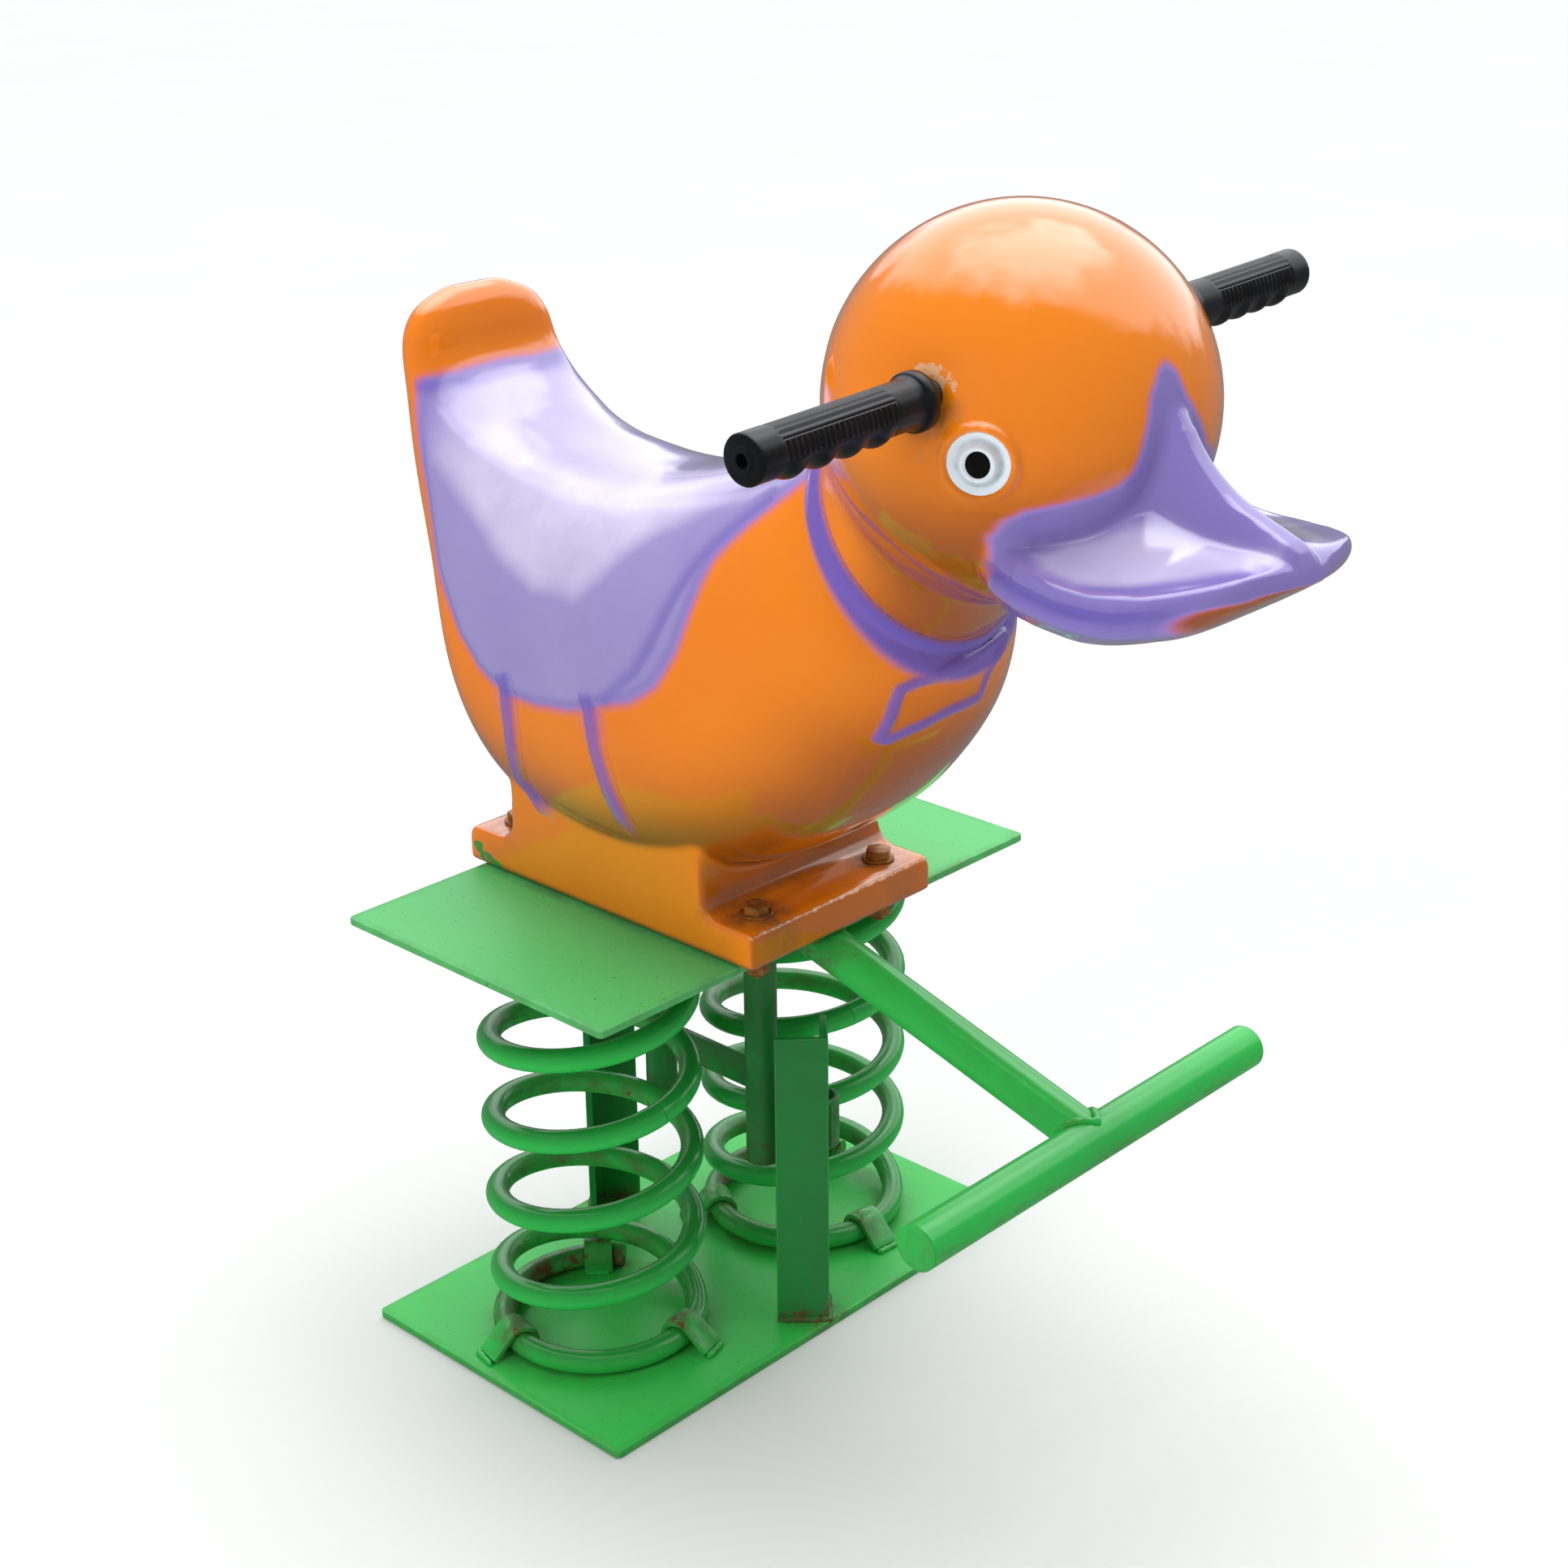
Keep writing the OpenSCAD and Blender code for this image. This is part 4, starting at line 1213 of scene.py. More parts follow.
@dataclass
class Footrest:
    """T-shaped footrest: sloping stem, crossbar and its caps."""

    finish: Material
    radius: float = 16.0
    wall: float = 3.0
    half_bar: float = 182.0
    cap: float = 3.0
    reach: float = -375.0
    height: float = 258.0
    slope: float = 15.9
    stem_end: float = -102.0
    deck_under: float = 337.0
    plate_front: float = -135.0
    weld: float = 3.0
    bar_step: float = 14.0
    bar_sides: int = 56
    stem_steps: int = 40
    stem_sides: int = 48

    def build(self) -> None:
        """Makes the crossbar, its caps and the stem."""
        along = Matrix.Translation((0, self.reach, self.height)) @ Matrix.Rotation(pi / 2, 4, "Y")
        bm = bmesh.new()
        r, h = self.radius, self.half_bar
        inner = r - self.wall
        steps = [i * self.bar_step - h for i in range(int(2 * h / self.bar_step) + 1)]
        tube = [(inner, -h)] + [(r, s) for s in steps] + [(r, h), (inner, h), (inner, -h)]
        spun(bm, tube, along, self.bar_sides)
        self.joint_weld(bm)
        grime_layer(bm, self.dirt)
        place_piece(bm, "crossbar_tube", self.finish, Body.ROCKER, ["footrest_crossbar"])
        bm = bmesh.new()
        for end in (-1, 1):
            dome = [(0.0, h + self.cap), (r - 5, h + self.cap), (r - 2.2, h + self.cap - 0.5),
                    (r - 0.6, h + self.cap - 1.8), (r, h + 0.4), (r - 0.3, h), (0.0, h)]
            spun(bm, [(a, end * b) for a, b in dome], along, self.bar_sides)
        grime_layer(bm, lambda p: 0.3)
        place_piece(bm, "crossbar_end_caps", self.finish, Body.ROCKER, ["footrest_caps"])
        self.stem()

    def dirt(self, spot: Vector) -> float:
        """Gathers dirt round the joint and below the bar."""
        joint = max(0.0, 1.0 - hypot(spot.x, spot.y - self.reach - self.radius) / 40.0)
        return 0.5 * joint + (0.25 if spot.z < self.height else 0.05)

    def axes(self) -> tuple[Vector, Vector]:
        """Gives the stem's direction, and the one square to it that points up."""
        tilt = radians(self.slope)
        return Vector((0, cos(tilt), sin(tilt))), Vector((0, -sin(tilt), cos(tilt)))

    def joint_weld(self, bm: BMesh) -> None:
        """Lays the weld where the stem meets the crossbar.

        Args:
            bm: Mesh that takes the bead.
        """
        ahead, up = self.axes()
        middle = Vector((0, self.reach, self.height))
        size = self.radius + 0.6
        line = []
        for a in circle(self.stem_sides):
            off = size * (cos(a) * Vector((1, 0, 0)) + sin(a) * up)
            line.append(middle + off + ahead * (size * abs(cos(a)) + 0.4))
        bead(bm, line, self.weld, closed=True)

    def stem(self) -> None:
        """Makes the stem, cut flat where it lies under the upper plate."""
        ahead, up = self.axes()
        foot = Vector((0, self.reach, self.height))
        run = (self.stem_end - self.reach) / cos(radians(self.slope))
        bm = bmesh.new()
        rings = []
        for i in range(self.stem_steps + 1):
            share = i / self.stem_steps
            ring = []
            for a in circle(self.stem_sides):
                off = self.radius * (cos(a) * Vector((1, 0, 0)) + sin(a) * up)
                start = self.radius * abs(cos(a))
                ring.append(foot + off + ahead * (start + (run - start) * share))
            rings.append(ring)
        loft(bm, rings)
        for vert in bm.verts:
            if vert.co.y > self.plate_front:
                vert.co.z = min(vert.co.z, self.deck_under - 0.1)
        bead(bm, [Vector((x, self.plate_front + 2 + 0.03 * x * x, self.deck_under - 1.5))
                  for x in (-16, -10, 10, 16)], 2.6)
        grime_layer(bm, lambda p: 0.12 + 0.5 * max(0.0, 1.0 - (self.plate_front - p.y) / 40.0))
        place_piece(bm, "footrest_stem_tube", self.finish, Body.ROCKER, ["footrest_stem"])


def ease(low: float, high: float, value: np.ndarray) -> np.ndarray:
    """Eases values from zero at low to one at high.

    Args:
        low: Value that gives zero.
        high: Value that gives one.
        value: Values to ease.

    Returns:
        Eased values.
    """
    q = np.clip((value - low) / (high - low), 0.0, 1.0)
    return q * q * (3 - 2 * q)


def bell(distance: np.ndarray, width: float) -> np.ndarray:
    """Gives one on a line, and less the further off it a place lies."""
    return np.exp(-(distance / width) ** 2)


def path_distance(points: np.ndarray, path: Sequence[Sequence[float]], closed: bool = False,
                  ) -> tuple[np.ndarray, np.ndarray]:
    """Measures how far points lie from a line of straight legs.

    Args:
        points: Points, one a row.
        path: Corners of the line, with as many numbers as the points have.
        closed: Whether the line returns to its start.

    Returns:
        The distance of each point, and the share of the line at its nearest spot.
    """
    corners = np.array(list(path) + ([path[0]] if closed else []), float)
    best = np.full(len(points), 1e9)
    share = np.zeros(len(points))
    legs = len(corners) - 1
    for i in range(legs):
        a, leg = corners[i], corners[i + 1] - corners[i]
        t = np.clip(((points - a) @ leg) / max(1e-9, leg @ leg), 0.0, 1.0)
        gap = np.linalg.norm(points - a - t[:, None] * leg, axis=1)
        nearer = gap < best
        best[nearer] = gap[nearer]
        share[nearer] = (i + t[nearer]) / legs
    return best, share


def inside(points: np.ndarray, outline: Sequence[Sequence[float]]) -> np.ndarray:
    """Tells which flat points lie inside an outline.

    Args:
        points: Flat points, one a row.
        outline: Corners of the outline.

    Returns:
        True for each point inside.
    """
    corners = np.array(outline, float)
    result = np.zeros(len(points), bool)
    for a, b in zip(corners, np.roll(corners, -1, axis=0)):
        crosses = (a[1] > points[:, 1]) != (b[1] > points[:, 1])
        rise = b[1] - a[1] if b[1] != a[1] else 1e-9
        result ^= crosses & (points[:, 0] < (b[0] - a[0]) * (points[:, 1] - a[1]) / rise + a[0])
    return result


def signed_gap(points: np.ndarray, outline: Sequence[Sequence[float]]) -> np.ndarray:
    """Measures the distance to an outline, positive inside.

    Args:
        points: Flat points, one a row.
        outline: Corners of the outline.

    Returns:
        Signed distances.
    """
    gap, _ = path_distance(points, outline, closed=True)
    return np.where(inside(points, outline), gap, -gap)


Row = tuple[float, ...]


def smooth_rows(rows: Sequence[Row], steps: int) -> list[np.ndarray]:
    """Runs a smooth curve through rows of numbers.

    Args:
        rows: Rows of equal length.
        steps: Steps from row to row.

    Returns:
        The finer rows.
    """
    table = np.array(rows, float)
    last = len(table) - 1
    fine = []
    for n in range(last * steps + 1):
        i = min(n // steps, last - 1)
        t = n / steps - i
        a, b, c, d = (table[max(0, min(last, i + k))] for k in (-1, 0, 1, 2))
        fine.append(0.5 * (2 * b + (c - a) * t + (2 * a - 5 * b + 4 * c - d) * t * t
                           + (3 * b - a - 3 * c + d) * t ** 3))
    return fine


@dataclass
class DuckShell:
    """Moulded duck: body, neck, head, bill and pedestal, in two halves joined along the middle."""

    finish: Material
    deck: float = 343.0
    seat: float = 660.0
    tail: float = 762.0
    half_body: float = 119.0
    half_tail: float = 70.0
    chest: float = 264.0
    tail_reach: float = 240.0
    head: Point = (0.0, -298.0, 754.0)
    head_radius: float = 125.5
    neck: Point = (0.0, -212.0, 653.0)
    neck_radius: float = 83.0
    neck_slope: float = 56.5
    neck_cut: float = 12.5
    rim: float = 683.0
    half_bill: float = 107.0
    bill_reach: float = 518.0
    bill_depth: float = 44.0
    bill_lip: float = 3.0
    bill_roll: float = 10.0
    keel_flat: float = 7.5
    keel_aside: float = -8.0
    pedestal: tuple[float, float, float] = (96.0, 100.5, 98.0)
    flange: tuple[float, float] = (149.5, 28.0)
    fillet: float = 15.0
    eye_out: Point = (112.0, -58.0, -7.0)
    body_voxel: float = 2.3
    head_voxel: float = 1.6
    bolts: tuple[float, float] = (65.0, 125.0)
    grip_root: Point = (118.0, -322.0, 788.0)
    grip_rise: float = 5.2
    seat_step: float = 1.9
    groove_depth: float = 2.6
    strap_swell: float = 3.0
    bow_swell: float = 1.9
    mouth_depth: float = 3.6
    lip_swell: float = 3.2
    lid_swell: float = 3.2
    eye_sink: float = 5.0
    groove_width: float = 3.8
    strap_half: float = 6.5
    crease_ahead: float = 9.5
    crease_depth: float = 1.6
    crease_width: float = 2.8
    bow_half: float = 4.2
    chest_swell: float = 0.8
    chest_width: float = 2.6
    mouth_width: float = 3.6
    lip_drop: float = 10.0
    lip_width: float = 6.0
    lid_radius: float = 21.8
    lid_width: float = 3.0
    collar_middle: float = 3.0
    collar_half: float = 9.4
    collar_swell: float = 4.6
    body_steps: int = 6
    bill_steps: int = 8
    chip_side: float = -97.0
    # lines of the side view as y and z, of the front view (bow, bill) as x and z, of the dish as x and y
    chips: tuple = ((139.0, 357.0, 9.0), (130.0, 350.0, 12.0), (118.0, 346.5, 9.0))
    seat_outline: tuple = (
        (203, 701), (197, 685), (175, 632), (155, 575), (131, 532), (110, 514), (89, 506), (73, 502),
        (44, 502), (16, 508), (-12, 515), (-56, 530), (-79, 548), (-95, 574), (-113, 620), (-121, 640),
        (-139, 666), (-156, 685), (-172, 700), (-172, 760), (100, 760), (185, 703))
    # outlines of the pale purple, partly rubbed paint and partly painted sheen
    dish_wear_and_sheen: tuple = (
        (90, -378), (66, -388), (42, -414), (30, -436), (24, -470), (18, -505), (40, -502), (66, -476),
        (86, -448), (98, -418), (100, -394))
    seat_wear_and_sheen: tuple = (
        (196, 694), (176, 652), (142, 622), (104, 600), (52, 580), (4, 586), (-22, 604), (-62, 640),
        (-112, 668), (-150, 690), (-150, 760), (180, 760))
    seat_groove: tuple = (
        (-34, 524), (-63, 550), (-76, 570), (-93, 606), (-106, 629), (-118, 646), (-134, 664), (-150, 680))
    straps: tuple = (((84, 516), (80, 507), (77, 471), (81, 428), (65, 412), (43, 409)),
                     ((-13, 526), (-16, 515), (-22, 486), (-29, 463), (-37, 435), (-45, 415)))
    bow: tuple = (
        (35, 583), (-24, 574), (-50, 571), (-58, 568), (-60, 560), (-61, 550), (-64, 534), (-58, 531),
        (-47, 536), (-20, 544), (12, 546), (16, 561), (37, 581))
    bill_edge: tuple = (
        (-140, 600), (-140, 699), (-105, 699), (-97, 703), (-96, 712), (-92, 719), (-83, 723), (-72, 726),
        (-60, 728), (-48, 731), (-40, 737), (-35, 750), (-31, 768), (-28, 783), (-19, 796), (-12, 799),
        (-5, 793), (1, 778), (15, 760), (27, 743), (44, 733), (60, 728), (72, 726), (83, 723), (92, 719),
        (96, 712), (97, 703), (105, 699), (140, 699), (140, 600))
    mouth: tuple = (
        (-350, 680), (-360, 678), (-385, 674), (-411, 671), (-449, 671), (-478, 677), (-498, 683))
    chest_line: tuple = ((-227, 520), (-182, 456))

    @property
    def neck_axis(self) -> np.ndarray:
        """Direction of the neck, upwards."""
        tilt = radians(self.neck_slope)
        return np.array([0.0, -sin(tilt), cos(tilt)])

    def neck_row(self, centre: Point, radius: float) -> Row:
        """Gives the round section of the neck at a centre.

        Args:
            centre: Middle of the section.
            radius: Its radius.

        Returns:
            A row as the body's rows are.
        """
        tilt = radians(self.neck_slope)
        y, z = radius * cos(tilt), radius * sin(tilt)
        return (centre[1] + y, centre[2] + z, centre[1] - y, centre[2] - z, radius, 0.0, 2.0)

    def body_rows(self) -> list[Row]:
        """Gives the body's sections: upper y and z, lower y and z, half width, pear and squareness."""
        s, d, b, c, t, z, w = (self.seat, self.deck, self.half_body, self.chest, self.tail_reach, self.tail,
                               self.half_tail)
        return [
            self.neck_row(self.neck, self.neck_radius),
            (-140, s + 47, -c, d + 222, b - 24, 0, 2.1),
            (-110, s + 34, -c + 12, d + 180, b - 14, 0.02, 2.2),
            (-75, s + 22, -c + 40, d + 138, b - 8, 0.04, 2.3),
            (-40, s + 11, -c + 80, d + 98, b - 4, 0.06, 2.5),
            (0, s + 2, -124, d + 60, b, 0.08, 2.6),
            (40, s, -50, d + 36, b - 3, 0.1, 2.7),
            (76, s + 2, 30, d + 34, b - 7, 0.1, 2.8),
            (112, s + 7, t - 128, d + 48, b - 12, 0.08, 2.8),
            (147, s + 17, t - 84, d + 97, b - 16, 0.07, 2.8),
            (176, s + 31, t - 62, d + 186, b - 25, 0.04, 2.8),
            (195, s + 45, t - 35, z - 152, w + 14, 0.02, 2.8),
            (203, z - 43, t - 12, z - 87, w + 4, 0, 2.8),
            (206, z - 25, t, z - 40, w - 2, 0, 2.8),
            (211, z - 10, t, z - 15, w - 16, 0, 2.6),
            (220, z, t - 7, z - 1, w - 44, 0, 2.4)]

    def bill_rows(self) -> list[Row]:
        """Gives the bill's sections: y, half width, rim, keel top, swell of the middle above the rim, dish
        and underside depth."""
        h, r, d, b = self.half_bill, self.rim, self.bill_depth, self.bill_reach
        return [
            (-340, h - 19, r + 18, r + 122, 84, 0, d + 20), (-368, h - 5, r + 10, r + 120, 80, 0, d + 12),
            (-405, h + 2, r + 2, r + 114, 70, 1, d + 5), (-424, h + 2, r, r + 88, 58, 2, d + 1),
            (-440, h + 1, r, r + 64, 41, 2, d - 3), (-456, h - 4, r + 1, r + 49, 30, 2, d - 7),
            (-472, h - 11, r + 3, r + 39, 23, 1, d - 11), (-b + 20, h - 36, r + 9, r + 28, 14, 1, d - 22),
            (-b + 9, h - 62, r + 11, r + 22, 7, 0, d - 28), (-b + 3, h - 84, r + 8, r + 13, 3, 0, d - 34),
            (-b, h - 97, r + 3, r + 6, 1, 0, 5)]

    def body(self, bm: BMesh, last: int, sides: int = 180) -> None:
        """Lofts the body and neck.

        Args:
            bm: Mesh that takes the body.
            last: Number of the last row that is taken.
            sides: Corners of each section.
        """
        steps = self.body_steps
        sections = [np.array(self.neck_row(self.head, 0.72 * self.head_radius))]
        sections += smooth_rows(self.body_rows(), steps)[:last * steps + 1]
        rings = []
        for top_y, top_z, low_y, low_z, wide, pear, square in sections:
            ring = []
            for a in circle(sides):
                c, s = (copysign(abs(f) ** (2 / square), f) for f in (cos(a), sin(a)))
                ring.append(Vector((wide * (1 - pear * s) * c,
                                    (top_y + low_y) / 2 + (top_y - low_y) / 2 * s,
                                    (top_z + low_z) / 2 + (top_z - low_z) / 2 * s)))
            rings.append(ring)
        loft(bm, rings)

    def bill(self, bm: BMesh, half: int = 96) -> None:
        """Lofts the bill: a flat-topped keel on a dished top with a rolled rim, over a round underside.

        Args:
            bm: Mesh that takes the bill.
            half: Corners of the top and of the underside.
        """
        rings = []
        for y, wide, rim, keel, swell, dish, deep in smooth_rows(self.bill_rows(), self.bill_steps):
            roll = min(self.bill_roll + max(0.0, y + 400) / 6, 0.4 * wide)
            edge = self.bill_lip - roll
            steep = 1.35 + min(0.75, max(0.0, y + 450) / 60)
            wall = 4.0 + 0.28 * max(0.0, keel - rim - swell)
            aside = self.keel_aside * min(1.0, wide / 60)
            ring = []
            for k in range(half):
                q = -cos(pi * k / half)
                across = abs(q) * wide
                hump = swell * (1 - abs(q)) ** steep
                top = rim + hump - dish * sin(pi * abs(q)) + 0.6 * self.bill_lip * abs(q) ** 4
                turn = min(1.0, max(0.0, across - wide + roll) / roll)
                top -= roll * (1 - sqrt(1 - turn * turn))
                fall = max(0.0, min(1.0, 1 - (abs(q * wide - aside) - self.keel_flat) / wall))
                ring.append(Vector((q * wide, y, top + max(0.0, keel - rim - hump) * fall ** 1.3)))
            for k in range(half):
                q = cos(pi * k / half)
                low = rim + edge - max(2.0, deep + edge) * sqrt(max(0.0, 1 - q ** 4))
                ring.append(Vector((q * wide, y, low)))
            rings.append(ring)
        loft(bm, rings)

    def stand(self, bm: BMesh) -> None:
        """Extrudes the pedestal's side outline, with a hollow fillet above each flange.

        Args:
            bm: Mesh that takes the pedestal.
        """
        before = set(bm.verts)
        half, neck, high = self.pedestal
        reach, thick = self.flange
        arc = [radians(180 + 15 * i) for i in range(7)]
        curve = [(neck + self.fillet * (1 + cos(a)), thick + self.fillet * (1 + sin(a))) for a in arc]
        right = [(reach, 0.0), (reach, thick - 5), (reach - 1.5, thick - 1.5), (reach - 5, thick)]
        right += curve[::-1] + [(neck, high)]
        outline = right + [(-y, z) for y, z in right[::-1]]
        face = bm.faces.new([bm.verts.new((-half, y, self.deck + z)) for y, z in outline])
        grown = bmesh.ops.extrude_face_region(bm, geom=[face])["geom"]
        bmesh.ops.translate(bm, vec=(2 * half, 0, 0), verts=only(grown, BMVert))
        sides = [e for e in bm.edges if e.verts[0] not in before
                 and abs(abs(e.verts[0].co.x) - half) < 0.01
                 and abs(e.verts[0].co.x - e.verts[1].co.x) < 0.01
                 and min(v.co.z for v in e.verts) > self.deck + 1]
        rounded(bm, sides, 3.5, 3)

    def joined(self, bm: BMesh, voxel: float) -> BMesh:
        """Joins overlapping forms into one skin by remeshing them.

        Args:
            bm: The forms, which are freed.
            voxel: Grid size in millimetres.

        Returns:
            The joined skin.
        """
        bmesh.ops.recalc_face_normals(bm, faces=bm.faces)
        mesh = made_mesh(bm, "rough_duck")
        rough = linked("rough_duck", mesh)
        remesh = rough.modifiers.new("join", "REMESH")
        remesh.mode = "VOXEL"
        remesh.voxel_size = voxel
        view = bpy.context.evaluated_depsgraph_get()
        skin = bpy.data.meshes.new_from_object(rough.evaluated_get(view))
        bpy.data.objects.remove(rough)
        bpy.data.meshes.remove(mesh)
        result = bmesh.new()
        result.from_mesh(skin)
        bpy.data.meshes.remove(skin)
        return result

    def relax(self, bm: BMesh, times: int,
              where: Callable[[Vector], bool] | None = None) -> None:
        """Smooths the skin.

        Args:
            bm: The skin.
            times: Number of passes.
            where: Chooses the places that are smoothed, or all of them.
        """
        verts = [v for v in bm.verts if where is None or where(v.co)]
        for _ in range(times):
            bmesh.ops.smooth_vert(bm, verts=verts, factor=0.5, use_axis_x=True, use_axis_y=True,
                                  use_axis_z=True)

    def lower_cast(self) -> BMesh:
        """Makes the skin of the body and pedestal up to the collar.

        Returns:
            The skin, open at the collar.
        """
        bm = bmesh.new()
        self.body(bm, len(self.body_rows()) - 1)
        self.stand(bm)
        bm = self.joined(bm, self.body_voxel)
        self.relax(bm, 5)
        self.relax(bm, 5, lambda p: p.z > 440)
        self.relax(bm, 3, lambda p: 402 < p.z < 452 and abs(p.x) < 106 and abs(p.y) < 118)
        return bm

    def upper_cast(self) -> BMesh:
        """Makes the skin of the neck, head and bill above the collar.

        Returns:
            The skin, open at the collar.
        """
        bm = bmesh.new()
        self.body(bm, 3)
        self.bill(bm)
        ball = bmesh.ops.create_icosphere(bm, subdivisions=6, radius=self.head_radius)["verts"]
        bmesh.ops.translate(bm, vec=self.head, verts=ball)
        bm = self.joined(bm, self.head_voxel)
        self.relax(bm, 3)
        self.relax(bm, 3, lambda p: p.y > -378)
        middle, axis = Vector(self.head), Vector(self.neck_axis)
        neck = Vector(self.neck)

        def nape(p: Vector) -> bool:
            """Tells whether a place is on the fold between neck and head."""
            return 14 < (p - neck).dot(axis) < 74 and abs((p - middle).length - self.head_radius) < 26

        def cheek(p: Vector) -> bool:
            """Tells whether a place is on the fold between head and bill."""
            return p.y < -335 and abs((p - middle).length - self.head_radius) < 7

        def corner(p: Vector) -> bool:
            """Tells whether a place is where the bill's rim leaves the head."""
            return -376 < p.y < -338 and p.z < 716 and abs(p.x) > 70

        def throat(p: Vector) -> bool:
            """Tells whether a place is on the neck or close to it."""
            return 5 < (p - neck).dot(axis) < 92 and (p - middle).length < self.head_radius + 60

        self.relax(bm, 180, nape)
        self.relax(bm, 24, throat)
        self.relax(bm, 18, cheek)
        self.relax(bm, 60, corner)
        return bm

    def eye_frame(self, side: Side) -> tuple[np.ndarray, np.ndarray, np.ndarray, np.ndarray]:
        """Gives an eye's place on the head.

        Args:
            side: Side of the head.

        Returns:
            The eye's centre on the head's skin, and its outward, sideways and upward directions.
        """
        out = np.array([side.value * self.eye_out[0], self.eye_out[1], self.eye_out[2]])
        out /= np.linalg.norm(out)
        across = np.cross([0.0, 0.0, 1.0], out)
        across /= np.linalg.norm(across)
        return np.array(self.head) + out * self.head_radius, out, across, np.cross(out, across)

    def relief(self, spots: np.ndarray) -> np.ndarray:
        """Works out how far the mould's raised and sunk details move the skin.

        Args:
            spots: Vertices, one a row.

        Returns:
            Distances along the normals.
        """
        flat, front_view = spots[:, 1:], spots[:, [0, 2]]
        _, y, high = spots.T
        out = np.abs(spots[:, 0])
        gap = signed_gap(flat, self.seat_outline)
        flank = ease(690, 650, high) * ease(40, 70, out)
        move = self.seat_step * ease(-2.5, 2.5, gap) * flank
        groove, share = path_distance(flat, self.seat_groove)
        shown = ease(40, 60, out)
        move -= self.groove_depth * bell(groove, self.groove_width) * ease(0.0, 0.15, share) * shown
        for path in self.straps:
            away, share = path_distance(flat, path)
            fade = ease(1.0, 0.8, share) * ease(0.0, 0.12, share) * ease(60, 85, out)
            move += self.strap_swell * np.sqrt(np.clip(1 - (away / self.strap_half) ** 2, 0, 1)) * fade
            ahead, _ = path_distance(flat, [(p[0] - self.crease_ahead, p[1]) for p in path])
            move -= self.crease_depth * bell(ahead, self.crease_width) * fade
        front = ease(-170, -200, y)
        bow, _ = path_distance(front_view, self.bow, closed=True)
        move += self.bow_swell * np.sqrt(np.clip(1 - (bow / self.bow_half) ** 2, 0, 1)) * front
        seam, _ = path_distance(flat, self.chest_line)
        move += self.chest_swell * bell(seam, self.chest_width) * ease(40, 50, out) * front
        beak = ease(-345, -355, y) * ease(30, 50, out)
        mouth, share = path_distance(flat, self.mouth)
        move -= self.mouth_depth * bell(mouth, self.mouth_width) * ease(1.0, 0.75, share) * beak
        lip, share = path_distance(flat, [(p[0], p[1] - self.lip_drop) for p in self.mouth])
        move += self.lip_swell * bell(lip, self.lip_width) * ease(1.0, 0.7, share) * beak
        move += self.collar(spots)[1]
        for side in Side:
            middle, ahead, across, up = self.eye_frame(side)
            off = spots - middle
            ring = np.hypot(off @ across, off @ up)
            near = ease(40, 20, np.abs(off @ ahead)) * ease(40, 34, ring)
            lid = 1.0 + 0.45 * np.clip((off @ up) / 22.0, -1, 1)
            move += self.lid_swell * bell(ring - self.lid_radius, self.lid_width) * lid * near
            move -= self.eye_sink * ease(20.0, 17.0, ring) * near
        return move

    def collar(self, spots: np.ndarray) -> tuple[np.ndarray, np.ndarray]:
        """Places the rounded collar round the neck.

        Args:
            spots: Vertices, one a row.

        Returns:
            Share of collar at each vertex, and how far it stands out there.
        """
        off = spots - np.array(self.neck)
        along = off @ self.neck_axis - self.collar_middle
        reach = np.linalg.norm(off - np.outer(off @ self.neck_axis, self.neck_axis), axis=1)
        near = ease(122, 112, reach)
        swell = self.collar_swell * np.clip(1 - (along / self.collar_half) ** 2, 0, 1) ** 0.75 * near
        return ease(11.0, 6.4, np.abs(along)) * near, swell

    def paint(self, spots: np.ndarray, outward: np.ndarray) -> dict[str, np.ndarray]:
        """Works out the paint masks at each vertex, painted shade and painted sheen among them.

        Args:
            spots: Vertices, one a row.
            outward: Their normals.

        Returns:
            Mask name to values of zero to one.
        """
        flat, front_view = spots[:, 1:], spots[:, [0, 2]]
        x, y, high = spots.T
        out, up = np.abs(x), outward[:, 2]
        flank = ease(60, 85, out)
        # the airbrush wanders by a few millimetres along every edge
        wander = (np.sin(x * 0.061 + high * 0.047) + np.sin(y * 0.073 + 1.3)) * 1.2
        gap = signed_gap(flat, self.seat_outline) + wander
        below = ease(13.5, 10.5, (spots - np.array(self.neck)) @ self.neck_axis)
        seat = ease(-15.0, 9.0, gap) * below
        edge = signed_gap(front_view, self.bill_edge) + wander
        bill = ease(-7.0, 8.0, edge) * ease(-344, -364, y)
        under = ease(0.1, 0.6, -up) * ease(-458, -492, y)
        bill *= 1 - np.clip(under + ease(0.8, 0.97, -up), 0, 1)
        bow, _ = path_distance(front_view, self.bow, closed=True)
        lines = [self.collar(spots)[0] * 0.95, ease(5.4, 2.8, bow) * ease(-170, -200, y) * 0.85]
        for path in self.straps:
            away, share = path_distance(flat, path)
            side = ease(1.0, 0.75, share) * ease(0.0, 0.1, share) * flank
            lines.append(ease(8.0, 5.0, away) * side * 0.75)
            seat = np.maximum(seat, 0.4 * ease(26, 5, away) * ease(0.6, 0.1, share) * flank)
        groove, _ = path_distance(flat, self.seat_groove)
        lines.append(0.5 * bell(groove, 5.0) * ease(40, 60, out))
        mouth, share = path_distance(flat, self.mouth)
        lines.append(0.75 * bell(mouth, 5.0) * ease(1.0, 0.7, share)
                     * ease(40, 60, out) * ease(-340, -352, y))
        rest = ease(180, 188, y) * ease(-0.1, -0.4, outward[:, 1])
        lines.append(0.55 * bell(high - 697.0 + wander, 4.5) * rest)
        # painted shade: darker orange on faces that look down and on the pedestal's front wall in the
        # belly's shadow
        recess = ease(96, 100, np.abs(y)) * ease(430, 400, high)
        ember = np.maximum(0.85 * ease(-0.05, 0.6, -up),
                           0.5 * (recess * ease(0.3, 0.8, -outward[:, 1])))
